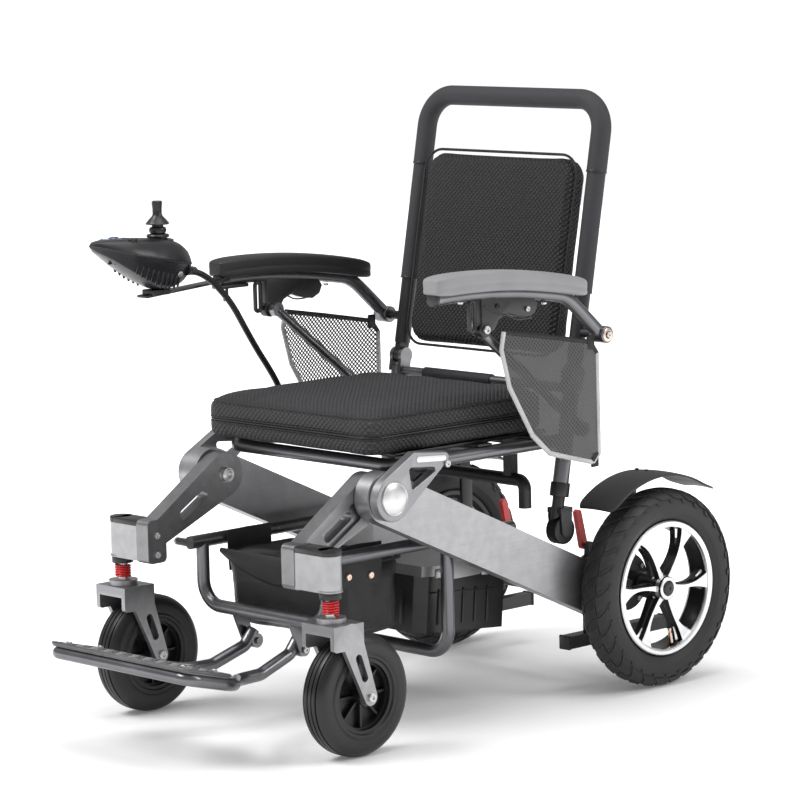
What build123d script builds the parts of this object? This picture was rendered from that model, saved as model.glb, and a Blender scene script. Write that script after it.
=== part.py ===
from build123d import *
import math
import os

# Folding power wheelchair, in millimetres.
# +X is the occupant's left, -Y is the front, +Z is up. The floor is z = 0 and x = 0 is the mid-plane.

# --- driving dimensions: wheels and track ---
rear_wheel_radius = 155.0
rear_tyre_width = 55.0
rear_track_half = 237.0
rear_axle_y = 369.0
rear_rim_radius = 105.8
rear_axle_radius = 8.0
spoke_count = 6
rim_wall = 9.0
rim_inner_x = -20.0
rim_outer_x = 21.0
rim_hub_radius = 20.0
spoke_inner_x = -4.0
spoke_thickness = 24.0
tyre_corner = 20.0
caster_radius = 90.0
caster_width = 46.0
caster_hub_radius = 52.0
caster_track_half = 232.0
caster_pivot_y = -315.5
caster_trail = 43.5
caster_axle_radius = 5.0
caster_corner = 16.0
caster_barrel_half = 14.0
caster_rib_count = 8
caster_groove_places = (-12, -4, 4, 12)

# --- clearances ---
pin_clearance = 0.1
side_gap = 0.4
slide_gap = 0.3

# --- side beams and the fold hub ---
hub_y = -176.0
hub_z = 361.0
hub_ring_radius = 34.0
hub_pin_radius = 12.0
hub_dome_radius = 25.0
beam_slope = 24.5
beam_length = 560.0
beam_height = 76.0
beam_inner_x = 177.0
beam_thickness = 28.0
beam_wall = 3.0
arm_inner_x = 149.0
lug_thickness = 16.0
hinge_plate_gap = 1.0

# --- caster housing at the lower end of the front arm ---
housing_bottom_z = 246.0
housing_height = 60.0
housing_radius = 17.0
housing_block_depth = 34.0
stem_radius = 8.0
collar_height = 10.0
spring_height = 26.0
spring_turns = 5
spring_wire = 3.4
suspension_travel = 10.0
crown_height = 23.0
fork_gap = 3.0
fork_cheek = 8.0
crown_radius = 22.0
crown_length = 58.0

# --- seat frame ---
seat_tube_x = 188.0
seat_tube_z = 400.0
seat_tube_radius = 10.0
seat_front_y = -135.0
seat_rear_y = 218.0
seat_pivot_y = -69.0
cushion_half_width = 198.0
cushion_front_y = -196.0
cushion_rear_y = 192.0
cushion_bottom_z = 419.0
cushion_thickness = 62.0
cushion_corner = 26.0
cushion_top_edge = 14.0
cushion_bottom_edge = 10.0
seat_bend = 34.0
subframe_y = 168.0
subframe_z = 338.0
subframe_foot_z = 296.0
subframe_half_width = 150.0
hanger_x = 120.0
crossbar_drop = 24.0
crossbar_radius = 7.0

# --- back posts, rollers and backrest ---
post_x = 190.0
post_radius = 12.5
post_wall = 3.0
back_lean = 10.8
back_hinge_z = 500.0
back_hinge_y = 237.0
lower_post_length = 172.0
roller_radius = 22.0
roller_width = 22.0
roller_y = 203.0
roller_z = 262.0
back_height = 420.0
handle_bend = 50.0
grip_radius = 15.6
grip_length = 111.0
sleeve_start = 124.0
sleeve_radius = 14.5
back_pad_half_width = 170.0
back_pad_bottom = 16.0
back_pad_height = 320.0
back_pad_thickness = 36.0
hinge_eye_width = 11.2
hinge_pin_radius = 5.0
hinge_ear_thickness = 7.0
roller_axle_radius = 4.0

# --- armrests ---
arm_x = 237.0
arm_tube_radius = 10.5
arm_front_y = -128.0
arm_pivot_height = 63.0
arm_pivot_radius = 7.0
arm_bush_radius = 13.0
arm_bend = 60.0
arm_pad_width = 50.0
arm_pad_front_y = -140.0
arm_pad_rear_y = 205.0
arm_pad_crown_y = -40.0
arm_pad_crown_z = 673.0
arm_pad_fall = 0.00059
arm_pad_thickness = 27.0
casting_thickness = 15.0
strut_x = 221.5
strut_radius = 7.5
strut_top_y = 0.0
strut_top_z = 593.0
strut_foot_drop = 83.0
strut_pin_radius = 6.0
strut_eye_radius = 11.0
pocket_x = 241.0
pocket_thickness = 6.0

# --- cargo frame, bag, battery and footrest ---
rail_x = 138.0
rail_z = 268.0
rail_radius = 10.0
rail_front_y = -262.0
rail_rear_y = 150.0
front_hoop_y = -236.0
front_hoop_z = 172.0
rear_hoop_y = 10.0
rear_hoop_z = 92.0
hoop_bend = 38.0
bag_half_width = 122.0
bag_front_y = -214.0
bag_rear_y = -62.0
bag_top_z = 256.0
bag_bottom_z = 138.0
battery_width = 228.0
battery_length = 178.0
battery_height = 86.0
battery_centre_y = 64.0
battery_centre_z = 160.0
battery_tilt = 5.0
tray_thickness = 16.0
foot_pivot_x = 50.0
foot_pivot_y = -216.0
foot_pivot_z = 124.0
foot_tube_radius = 9.5
foot_half_width = 150.0
foot_front_y = -516.0
foot_front_z = 140.0
foot_rear_y = -432.0
foot_bend_y = -345.0
foot_leg_z = 98.0
foot_stub = 16.0
foot_rear_z = 118.0
foot_plate_thickness = 4.0
foot_bends = [16, 30, 50, 50, 16]
foot_pin_radius = 5.0
foot_eye_radius = 11.0
rail_pin_radius = 6.0
bracket_plate = 5.0

# --- rear chassis ---
motor_radius = 37.0
motor_inner_x = 92.0
motor_outer_x = 152.0
gearbox_radius = 45.0
gearbox_nose_radius = 19.0
cross_tube_y = 308.0
cross_tube_z = 146.0
cross_tube_radius = 12.0
anti_tip_x = 150.0
anti_tip_front_y = 253.0
anti_tip_rear_y = 478.0
anti_tip_z = 73.0
anti_tip_size = 20.0
anti_tip_wall = 2.0
fender_radius = 186.0
fender_sheet = 3.0
fender_centre_y = 363.0
fender_centre_z = 150.0
fender_inner_x = 184.0
fender_outer_x = 262.0
fender_stay_thickness = 6.0
fender_stay_width = 24.0
lever_x = 90.0
lever_length = 52.0
lever_thickness = 8.0
lever_eye_radius = 7.0
lever_pin_radius = 3.0
lever_rise = 12.0

# --- controller ---
controller_x = -232.0
controller_half_width = 45.0
stick_y = -227.0
stick_base_z = 719.0
stick_pivot_z = 706.0
stick_tip_z = 778.0
bracket_width = 25.0
bracket_thickness = 4.0
bracket_length = 150.0
bracket_y = -170.0
bracket_top_z = 646.0
well_radius = 24.0
well_depth = 44.0
button_radius = 7.0
button_height = 10.0
button_spacing = 22.0
button_reach = 68.0
button_z = 722.0
ring_radius = 20.0
ring_bore = 12.0
ring_height = 6.0
gimbal_pin_radius = 2.5
cable_radius = 5.0
cable_route = [
    (-206, -166.0, 676),
    (-205, -148.0, 674),
    (-205, -127.0, 662),
    (-204, -107.0, 636),
    (-205, -86.0, 603),
    (-205, -64.0, 570),
    (-204, -40.0, 540),
    (-205, -14.0, 512),
    (-206, 6.0, 478),
    (-205, 20.0, 444),
]

# --- derived places ---
rear_axle_z = rear_wheel_radius
caster_axle_y = caster_pivot_y + caster_trail
caster_axle_z = caster_radius
beam_outer_x = beam_inner_x + beam_thickness
arm_thickness = beam_inner_x - hinge_plate_gap - arm_inner_x
lug_inner_x = beam_outer_x + hinge_plate_gap
lug_outer_x = lug_inner_x + lug_thickness
housing_top_z = housing_bottom_z + housing_height
collar_bottom_z = housing_bottom_z - slide_gap - collar_height
crown_top_z = collar_bottom_z - spring_height
crown_bottom_z = crown_top_z - crown_height
lean_frame = Pos(0, back_hinge_y, back_hinge_z) * Rot(-back_lean, 0, 0)
grip_start = back_height - grip_length
lever_pivot_y = rear_axle_y - 2
lever_pivot_z = rear_axle_z + motor_radius + lever_rise
arm_pivot_y = back_hinge_y + arm_pivot_height * math.sin(math.radians(back_lean))
arm_pivot_z = back_hinge_z + arm_pivot_height * math.cos(math.radians(back_lean))
strut_foot_y = back_hinge_y - strut_foot_drop * math.sin(math.radians(back_lean))
strut_foot_z = back_hinge_z - strut_foot_drop * math.cos(math.radians(back_lean))


def save(name, *shapes):
    """Write the solids of one node to its STEP file."""
    solids = []
    for shape in shapes:
        solids.extend(shape.solids())
    export_step(Compound(solids), f"parts/{name}.step")


def mirrored(shape):
    """The same shape on the other side of the mid-plane."""
    return mirror(shape, about=Plane.YZ)


def both(shape):
    """The left-hand shape and its mirror image."""
    return shape, mirrored(shape)


def on_side(shape, side):
    """Keep a left-hand shape, or turn it into the right-hand one."""
    return shape if side == "left" else mirrored(shape)


def along_x(sketch, low_x, thickness):
    """Raise a side-view outline, drawn in y and z, from low_x towards +X."""
    return extrude(Plane.YZ.offset(low_x) * sketch, amount=thickness)


def pin(y, z, radius, low_x, high_x):
    """A round bar along X."""
    return along_x(Pos(y, z) * Circle(radius), low_x, high_x - low_x)


def swept(points, radius, bend):
    """A round bar along straight runs joined by arcs."""
    path = FilletPolyline(*points, radius=bend) if len(points) > 2 else Line(*points)
    return sweep(Plane(origin=path @ 0, z_dir=path % 0) * Circle(radius), path)


def hull_of(*circles):
    """The outline round several circles, each given as (y, z, radius)."""
    outline = Sketch() + [Pos(y, z) * Circle(radius) for y, z, radius in circles]
    return make_hull(outline.edges())


def slot(y, z, length, width, angle):
    """A rounded slot centred on y, z and turned by an angle."""
    return Pos(y, z) * Rot(0, 0, angle) * SlotOverall(length, width)


# --- rear chassis ---
def side_beam():
    """Hollow rectangular beam that ends in a solid drum at the fold hub."""
    place = Pos(hub_y, hub_z) * Rot(0, 0, -beam_slope)
    profile = place * Pos(beam_length / 2, 0) * Rectangle(beam_length, beam_height)
    outer = along_x(profile, beam_inner_x, beam_thickness)
    drum = pin(hub_y, hub_z, beam_height / 2, beam_inner_x, beam_outer_x)
    hollow_start = beam_height / 2 + beam_wall
    hollow_length = beam_length - hollow_start
    hollow_place = place * Pos(hollow_start + hollow_length / 2, 0)
    hollow = hollow_place * Rectangle(hollow_length, beam_height - 2 * beam_wall)
    inner = along_x(hollow, beam_inner_x + beam_wall, beam_thickness - 2 * beam_wall)
    bore = pin(hub_y, hub_z, hub_pin_radius + pin_clearance, beam_inner_x, beam_outer_x)
    return outer + drum - inner - bore


def gear_motor():
    """Motor body, gearbox and output shaft on the rear axle line."""
    body = pin(rear_axle_y, rear_axle_z, motor_radius, motor_inner_x, motor_outer_x)
    face_x = beam_inner_x - hinge_plate_gap
    gearbox = pin(rear_axle_y, rear_axle_z, gearbox_radius, motor_outer_x, face_x)
    nose = pin(rear_axle_y, rear_axle_z, gearbox_nose_radius, face_x, beam_outer_x + 2)
    shaft = pin(rear_axle_y, rear_axle_z, rear_axle_radius, beam_outer_x + 2, rear_track_half + 22)
    mount = hull_of((rear_axle_y, rear_axle_z, 30), (rear_axle_y - 40, rear_axle_z - 12, 22))
    plate = along_x(mount, beam_inner_x - 9, 9)
    return body + gearbox + nose + shaft + plate - side_beam()


def rear_cross_frame():
    """Welded cross tube with the two square anti-tip bars under it."""
    reach = beam_inner_x
    cross = pin(cross_tube_y, cross_tube_z, cross_tube_radius, -reach, reach)
    half = anti_tip_size / 2
    frame = cross
    for side in (-1, 1):
        length = anti_tip_rear_y - anti_tip_front_y
        middle = (anti_tip_front_y + anti_tip_rear_y) / 2
        bar = Pos(side * anti_tip_x, middle, anti_tip_z) * Box(anti_tip_size, length, anti_tip_size)
        inside = anti_tip_size - 2 * anti_tip_wall
        socket = Pos(side * anti_tip_x, middle, anti_tip_z) * Box(inside, length, inside)
        drop = cross_tube_z - anti_tip_z - half
        stay = Pos(side * anti_tip_x, cross_tube_y, anti_tip_z + half + drop / 2) * Box(8, 22, drop)
        frame = frame + bar - socket + stay
    return frame - gear_motor() - mirrored(gear_motor())


def fender():
    """Arched sheet over the rear wheel with a stay down to the gearbox."""
    ring = Circle(fender_radius) - Circle(fender_radius - fender_sheet)
    arc = Pos(fender_centre_y, fender_centre_z) * ring
    wedge = Pos(fender_centre_y, fender_centre_z) * make_face(
        Polyline((0, 0), (190, 226), (0, 300), (-300, 300), (-240, 257), (0, 0))
    )
    sheet = along_x(arc & wedge, fender_inner_x, fender_outer_x - fender_inner_x)
    stay_top = fender_centre_z + fender_radius - fender_sheet - 1
    stay_foot = rear_axle_z + gearbox_radius - 6
    stay_x = fender_inner_x - fender_stay_thickness / 2
    stay_place = Pos(stay_x, rear_axle_y, (stay_foot + stay_top) / 2)
    stay = stay_place * Box(fender_stay_thickness, fender_stay_width, stay_top - stay_foot)
    hook_place = Pos(fender_inner_x, rear_axle_y, stay_top - 1)
    hook = hook_place * Box(2 * fender_stay_thickness, fender_stay_width, 4)
    body = stay + hook - along_x(Pos(fender_centre_y, fender_centre_z) * ring, 100, 200)
    return sheet + body - gear_motor() - side_beam()


def release_lever():
    """Freewheel lever that turns on the inner end of the motor."""
    tip = (lever_pivot_y - 12, lever_pivot_z + lever_length, lever_eye_radius - 1)
    arm = hull_of((lever_pivot_y, lever_pivot_z, lever_eye_radius), tip)
    lever = along_x(arm, lever_x - 12, lever_thickness)
    bore_radius = lever_pin_radius + pin_clearance
    bore = pin(lever_pivot_y, lever_pivot_z, bore_radius, lever_x - 20, lever_x + 20)
    return lever - bore


def lever_post():
    """Post on the motor that carries the lever's pivot pin."""
    root = (lever_pivot_y, rear_axle_z + motor_radius - 5, lever_eye_radius + 2)
    ear = hull_of((lever_pivot_y, lever_pivot_z, lever_eye_radius), root)
    post = along_x(ear, lever_x + 2, lever_thickness)
    return post + pin(lever_pivot_y, lever_pivot_z, lever_pin_radius, lever_x - 14, lever_x + 4)


# --- rear wheels ---
def rear_tyre():
    """Pneumatic tyre as one ring."""
    height = rear_wheel_radius - rear_rim_radius
    section = Pos(0, rear_rim_radius + height / 2) * RectangleRounded(rear_tyre_width, height, tyre_corner)
    ring = revolve(Plane.XY * section, Axis.X, 360)
    return Pos(rear_track_half, rear_axle_y, rear_axle_z) * ring


def rear_rim():
    """Cast rim with curved spokes and a bored hub."""
    barrel = pin(0, 0, rear_rim_radius, rim_inner_x, rim_outer_x)
    barrel = barrel - pin(0, 0, rear_rim_radius - rim_wall, rim_inner_x, rim_outer_x)
    hub = pin(0, 0, rim_hub_radius, rim_inner_x - 6, rim_outer_x + 3)
    wheel = barrel + hub
    for index in range(spoke_count):
        turn = Rot(0, 0, 30 + 360 * index / spoke_count)
        blade = hull_of((18, 3, 8), (60, -3, 7))
        foot = hull_of((60, -3, 7), (rear_rim_radius - 6, 6, 9))
        wheel = wheel + along_x(turn * (blade + foot), spoke_inner_x, spoke_thickness)
    keep = pin(0, 0, rear_rim_radius, -30, 30)
    bore = pin(0, 0, rear_axle_radius + pin_clearance, -30, 30)
    return Pos(rear_track_half, rear_axle_y, rear_axle_z) * ((wheel & keep) - bore)


# --- front frame ---
def front_arm():
    """Cast arm from the fold hub down to the caster housing."""
    lower_y = caster_pivot_y
    middle_z = housing_bottom_z + housing_height / 2
    blade = hull_of((hub_y, hub_z, hub_ring_radius), (lower_y + 6, middle_z + 12, 20))
    plate = Pos(lower_y, middle_z) * RectangleRounded(housing_block_depth + 2, housing_height + 6, 8)
    slope = math.degrees(math.atan2(hub_z - middle_z, hub_y - lower_y))
    window = slot((hub_y + lower_y) / 2 + 4, (hub_z + middle_z) / 2 + 4, 62, 15, slope)
    body = along_x(blade + plate - window, arm_inner_x, arm_thickness)
    pocket_outline = slot((hub_y + lower_y) / 2 + 4, (hub_z + middle_z) / 2 + 4, 96, 30, slope)
    pocket = along_x(pocket_outline, arm_inner_x + arm_thickness - 5, 5)
    return body - pocket - pin(hub_y, hub_z, hub_pin_radius, arm_inner_x, beam_inner_x)


def lug_plate():
    """Outer hinge plate that reaches up to the seat tube."""
    outline = hull_of(
        (hub_y, hub_z, hub_ring_radius),
        (hub_y + 46, hub_z + 54, 9),
        (hub_y + 105, hub_z + 49, 8),
    )
    window = make_hull(
        (Sketch() + [
            Pos(hub_y + 36, hub_z + 37) * Circle(4),
            Pos(hub_y + 80, hub_z + 33) * Circle(4),
            Pos(hub_y + 40, hub_z + 14) * Circle(4),
        ]).edges()
    )
    body = along_x(outline - window, lug_inner_x, lug_thickness)
    body = fillet(body.faces().sort_by(Axis.X)[-1].edges(), 2.0)
    groove = reflector()
    bore_radius = hinge_pin_radius + pin_clearance
    seat_pin = pin(seat_pivot_y, seat_tube_z, bore_radius, lug_inner_x, lug_outer_x)
    return body - pin(hub_y, hub_z, hub_pin_radius, lug_inner_x, lug_outer_x) - groove - seat_pin


def reflector():
    """Pale bar let into the upper edge of the lug plate."""
    bar = slot(hub_y + 76, hub_z + 50, 60, 9, -4)
    return along_x(bar, lug_outer_x - 1.5, 2.5)


def hub_pin():
    """Fold hub pin with its domed head."""
    shaft = pin(hub_y, hub_z, hub_pin_radius, arm_inner_x, lug_outer_x)
    head = pin(hub_y, hub_z, hub_dome_radius, lug_outer_x, lug_outer_x + 3)
    head = fillet(head.faces().sort_by(Axis.X)[-1].edges(), 2.0)
    return shaft + head


def caster_housing():
    """Block and upright cylinder that hold the caster stem."""
    middle_z = housing_bottom_z + housing_height / 2
    block_inner_x = arm_inner_x + arm_thickness
    block_width = caster_track_half - block_inner_x
    block = Pos(block_inner_x + block_width / 2, caster_pivot_y, middle_z)
    solid = block * Box(block_width, housing_block_depth, housing_height)
    barrel = Pos(caster_track_half, caster_pivot_y, middle_z) * Cylinder(housing_radius, housing_height)
    stem_top = housing_top_z - 6
    bore_height = stem_top + slide_gap - housing_bottom_z
    bore_place = Pos(caster_track_half, caster_pivot_y, housing_bottom_z + bore_height / 2)
    return solid + barrel - bore_place * Cylinder(stem_radius + pin_clearance, bore_height)


# --- casters ---
def caster_stem():
    """Steel stem with the black collar above the spring."""
    stem_bottom = crown_bottom_z - 2
    stem_top = housing_top_z - 6
    height = stem_top - stem_bottom
    rod = Pos(caster_track_half, caster_pivot_y, (stem_top + stem_bottom) / 2)
    rod = rod * Cylinder(stem_radius, height)
    collar_middle = collar_bottom_z + collar_height / 2
    collar = Pos(caster_track_half, caster_pivot_y, collar_middle)
    collar = collar * Cylinder(housing_radius - 1.5, collar_height)
    return rod + collar


def caster_spring():
    """Compression spring round the stem, as its closed outer envelope of stacked rings."""
    pitch = (spring_height - 2 * slide_gap - spring_wire) / spring_turns
    low = crown_top_z + slide_gap + spring_wire / 2
    coil_radius = stem_radius + 1.2 + spring_wire / 2
    bar_height = pitch * spring_turns
    place = Pos(caster_track_half + coil_radius, caster_pivot_y, low + bar_height / 2)
    spring = place * Cylinder(spring_wire / 3, bar_height)
    for turn in range(spring_turns + 1):
        ring = Torus(coil_radius, spring_wire / 2)
        spring = spring + Pos(caster_track_half, caster_pivot_y, low + pitch * turn) * ring
    return spring


def caster_fork():
    """Two-legged fork with a stepped crown, its stem bore and the wheel bolt."""
    inner = caster_width / 2 + fork_gap
    outer = inner + fork_cheek
    upper = Pos(caster_track_half, caster_pivot_y, crown_top_z - 5) * Cylinder(crown_radius, 10)
    lower_height = crown_height - 8
    lower = Pos(caster_track_half, caster_pivot_y + 3, crown_bottom_z + lower_height / 2)
    crown = upper + lower * Box(2 * outer, crown_length, lower_height)
    leg = hull_of((caster_axle_y, caster_axle_z, 12), (caster_pivot_y + 8, crown_bottom_z - 4, 20))
    skirt = Pos(caster_pivot_y + 3, crown_bottom_z - 6) * RectangleRounded(crown_length, 32, 5)
    rise = math.degrees(math.atan2(crown_bottom_z - caster_axle_z, caster_pivot_y + 8 - caster_axle_y))
    window_y = (caster_axle_y + caster_pivot_y) / 2 + 5
    window = slot(window_y, (caster_axle_z + crown_bottom_z) / 2 - 3, 44, 12, rise)
    outline = leg + skirt - window
    legs = along_x(outline, caster_track_half + inner, fork_cheek)
    legs = legs + along_x(outline, caster_track_half - outer, fork_cheek)
    low = caster_track_half - outer
    bolt = pin(caster_axle_y, caster_axle_z, caster_axle_radius, low, low + 2 * outer)
    low = caster_track_half - inner
    sweep_room = pin(caster_axle_y, caster_axle_z, caster_radius + 2.5, low, low + 2 * inner)
    bore_bottom = crown_bottom_z - 2 - suspension_travel - 2
    bore_height = crown_top_z - bore_bottom
    bore = Pos(caster_track_half, caster_pivot_y, bore_bottom + bore_height / 2)
    fork = crown - sweep_room + legs - bore * Cylinder(stem_radius + pin_clearance, bore_height)
    return fork + bolt


def caster_tyre():
    """Solid ribbed caster tyre."""
    height = caster_radius - caster_hub_radius
    section = Pos(0, caster_hub_radius + height / 2) * RectangleRounded(caster_width, height, caster_corner)
    tyre = revolve(Plane.XY * section, Axis.X, 360)
    for offset in caster_groove_places:
        groove_radius = caster_radius - abs(offset) * 0.12
        groove = Pos(offset, groove_radius) * Rectangle(2.0, 5.0)
        tyre = tyre - revolve(Plane.XY * groove, Axis.X, 360)
    return Pos(caster_track_half, caster_axle_y, caster_axle_z) * tyre


def caster_hub():
    """Moulded caster hub with ribs between its barrel and boss."""
    half = caster_barrel_half
    barrel = pin(0, 0, caster_hub_radius, -half, half) - pin(0, 0, caster_hub_radius - 5, -half, half)
    web = pin(0, 0, caster_hub_radius - 5, -3, 3)
    boss = pin(0, 0, 13, -caster_width / 2 - 1, caster_width / 2 + 1)
    hub = barrel + web + boss
    for index in range(caster_rib_count):
        rib = Rot(0, 0, 360 * index / caster_rib_count) * Pos(30, 0) * Rectangle(38, 3.5)
        hub = hub + along_x(rib, -11, 22)
    bore = pin(0, 0, caster_axle_radius + pin_clearance, -caster_width, caster_width)
    return Pos(caster_track_half, caster_axle_y, caster_axle_z) * (hub - bore)


# --- seat ---
def seat_frame():
    """U-shaped seat tube with a rear cross tube, pivot bushes and strut pins."""
    points = [
        (seat_tube_x, seat_rear_y, seat_tube_z),
        (seat_tube_x, seat_front_y, seat_tube_z),
        (-seat_tube_x, seat_front_y, seat_tube_z),
        (-seat_tube_x, seat_rear_y, seat_tube_z),
    ]
    loop = swept(points, seat_tube_radius, seat_bend)
    middle = pin(60, seat_tube_z, seat_tube_radius - 1, -seat_tube_x, seat_tube_x)
    frame = loop + middle
    for side in (-1, 1):
        low, high = sorted((side * (seat_tube_x + 2), side * (lug_outer_x - 1)))
        frame = frame + pin(seat_pivot_y, seat_tube_z, hinge_pin_radius, low, high)
    return frame - lower_post() - mirrored(lower_post())


def lower_post():
    """Lower back post with the two ears of the back hinge and the strut's foot pin."""
    outer = Pos(post_x, 0, -18 - lower_post_length / 2) * Cylinder(post_radius, lower_post_length)
    bore = Pos(post_x, 0, -30 - lower_post_length / 2) * Cylinder(post_radius - post_wall, lower_post_length)
    ears = None
    half = hinge_eye_width / 2 + side_gap
    reach = half + hinge_ear_thickness
    for low in (post_x - reach, post_x + half):
        outline = Circle(13) + Pos(0, -14) * Rectangle(22, 22)
        ear = along_x(outline, low, hinge_ear_thickness)
        ears = ear if ears is None else ears + ear
    hinge_pin = pin(0, 0, hinge_pin_radius, post_x - reach, post_x + reach)
    neck = Pos(post_x, 0, -22) * Box(2 * reach, 22, 8)
    foot_pin = pin(0, 0, strut_pin_radius, post_x + post_radius - 2, strut_x + strut_radius + 3)
    foot_pin = Pos(0, 0, -strut_foot_drop) * foot_pin
    return lean_frame * (outer - bore + ears + hinge_pin + neck + foot_pin)


def post_fork():
    """Sliding lower tube, fork and pin that hold one post roller."""
    tube_top = lower_post_length + 18
    inner = Pos(post_x, 0, -tube_top - 2) * Cylinder(post_radius - post_wall, 70)
    upright = lean_frame * inner
    bridge_z = roller_z + roller_radius + 9
    half = roller_width / 2 + side_gap
    bridge = Pos(post_x, roller_y, bridge_z) * Box(2 * half + 6, 26, 8)
    fork = upright + bridge
    for low in (post_x - half - 3, post_x + half):
        outline = hull_of((roller_y, roller_z, 10), (roller_y, bridge_z - 8, 12))
        fork = fork + along_x(outline, low, 3)
    room = pin(roller_y, roller_z, roller_radius + 3, post_x - half, post_x + half)
    axle = pin(roller_y, roller_z, roller_axle_radius, post_x - half - 3, post_x + half + 3)
    return fork - room + axle


def post_roller():
    """Rubber roller that runs along the top of the beam."""
    low = post_x - roller_width / 2
    disc = pin(roller_y, roller_z, roller_radius, low, low + roller_width)
    disc = fillet(disc.edges(), 3)
    return disc - pin(roller_y, roller_z, roller_axle_radius + pin_clearance, post_x - 20, post_x + 20)


def seat_subframe():
    """Black hoop below the seat, ending just above the cargo rails."""
    half = subframe_half_width
    foot = subframe_foot_z
    points = [
        (half, subframe_y, foot),
        (half, subframe_y, subframe_z),
        (-half, subframe_y, subframe_z),
        (-half, subframe_y, foot),
    ]
    hoop = swept(points, seat_tube_radius, 14)
    for side in (-1, 1):
        rise = seat_tube_z - subframe_z
        hanger = Pos(side * hanger_x, subframe_y, subframe_z + rise / 2) * Box(16, 16, rise)
        hoop = hoop + hanger
    bar = pin(subframe_y, seat_tube_z, seat_tube_radius - 2, -seat_tube_x, seat_tube_x)
    return hoop + bar - seat_frame()


def back_crossbar():
    """Sleeved bar between the lower posts."""
    bar = Pos(0, 0, -crossbar_drop) * pin(0, 0, crossbar_radius, -post_x, post_x)
    return lean_frame * bar - lower_post() - mirrored(lower_post())


def seat_cushion():
    """Plain closed solid of the seat cushion."""
    length = cushion_rear_y - cushion_front_y
    place = Pos(0, (cushion_rear_y + cushion_front_y) / 2, cushion_bottom_z + cushion_thickness / 2)
    block = Box(2 * cushion_half_width, length, cushion_thickness)
    block = fillet(block.edges().filter_by(Axis.Z), cushion_corner)
    block = fillet(block.edges().group_by(Axis.Z)[-1], cushion_top_edge)
    block = fillet(block.edges().group_by(Axis.Z)[0], cushion_bottom_edge)
    return place * block


# --- backrest ---
def back_frame():
    """Arched back tube with its hinge eyes and armrest pins."""
    points = [(post_x, 0, 20), (post_x, 0, back_height), (-post_x, 0, back_height), (-post_x, 0, 20)]
    frame = swept(points, post_radius, handle_bend)
    frame = frame - swept(points, post_radius - post_wall, handle_bend)
    for side in (-1, 1):
        outline = Circle(12) + Pos(0, 16) * Rectangle(20, 24)
        eye = along_x(outline, side * post_x - hinge_eye_width / 2, hinge_eye_width)
        bore_radius = hinge_pin_radius + pin_clearance
        eye = eye - pin(0, 0, bore_radius, side * post_x - 20, side * post_x + 20)
        low, high = sorted((side * (post_x + post_radius - 2), side * (arm_x + 16)))
        arm_pin = Pos(0, 0, arm_pivot_height) * pin(0, 0, arm_pivot_radius, low, high)
        frame = frame + eye + arm_pin
    return lean_frame * frame


def handle_grip():
    """Foam sleeve over the arch of the push handle."""
    points = [
        (post_x, 0, grip_start),
        (post_x, 0, back_height),
        (-post_x, 0, back_height),
        (-post_x, 0, grip_start),
    ]
    return lean_frame * (swept(points, grip_radius, handle_bend) - swept(points, post_radius, handle_bend))


def post_sleeve():
    """Dark sleeve on the upper part of one back post."""
    height = grip_start - slide_gap - sleeve_start
    place = Pos(post_x, 0, sleeve_start + height / 2)
    return lean_frame * place * (Cylinder(sleeve_radius, height) - Cylinder(post_radius, height))


def back_pad():
    """Plain closed solid of the padded back."""
    block = Box(2 * back_pad_half_width, back_pad_thickness, back_pad_height)
    block = fillet(block.edges().filter_by(Axis.Y), 32)
    block = fillet(block.edges().group_by(Axis.Y)[0], 10)
    place = Pos(0, -4, back_pad_bottom + back_pad_height / 2)
    return lean_frame * place * block


# --- armrests ---
def pad_underside(y):
    """Height of the underside of the armrest pad."""
    return arm_pad_crown_z - arm_pad_thickness - arm_pad_fall * (y - arm_pad_crown_y) ** 2


def arm_route():
    """Centre line of the armrest tube, just below the pad and down to its rear pivot."""
    drop = arm_tube_radius + slide_gap
    stations = [arm_front_y, arm_pad_crown_y, 60, 150]
    points = [(arm_x, y, pad_underside(y) - drop) for y in stations]
    return points + [(arm_x, arm_pivot_y - 8, arm_pivot_z + 8)]


def arm_tube():
    """Bent armrest tube with its rear bush."""
    body = swept(arm_route(), arm_tube_radius, arm_bend)
    bush = pin(arm_pivot_y, arm_pivot_z, arm_bush_radius, arm_x - 13, arm_x + 15)
    bore_radius = arm_pivot_radius + pin_clearance
    bore = pin(arm_pivot_y, arm_pivot_z, bore_radius, arm_x - 30, arm_x + 30)
    return body + bush - bore


def arm_pad():
    """Curved armrest pad."""
    def corner(y, lift):
        return (y, pad_underside(y) + lift)

    middle_y = (arm_pad_front_y + arm_pad_rear_y) / 2
    lower = ThreePointArc(corner(arm_pad_front_y, 0), corner(middle_y, 0), corner(arm_pad_rear_y, 0))
    upper = ThreePointArc(
        corner(arm_pad_front_y, arm_pad_thickness),
        corner(middle_y, arm_pad_thickness),
        corner(arm_pad_rear_y, arm_pad_thickness),
    )
    front = Line(lower @ 0, upper @ 0)
    rear = Line(lower @ 1, upper @ 1)
    outline = make_face([lower, upper, front, rear])
    body = along_x(outline, arm_x - arm_pad_width / 2, arm_pad_width)
    body = fillet(body.edges().filter_by(Axis.X), 7)
    return body - swept(arm_route(), arm_tube_radius + slide_gap / 2, arm_bend)


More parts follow.
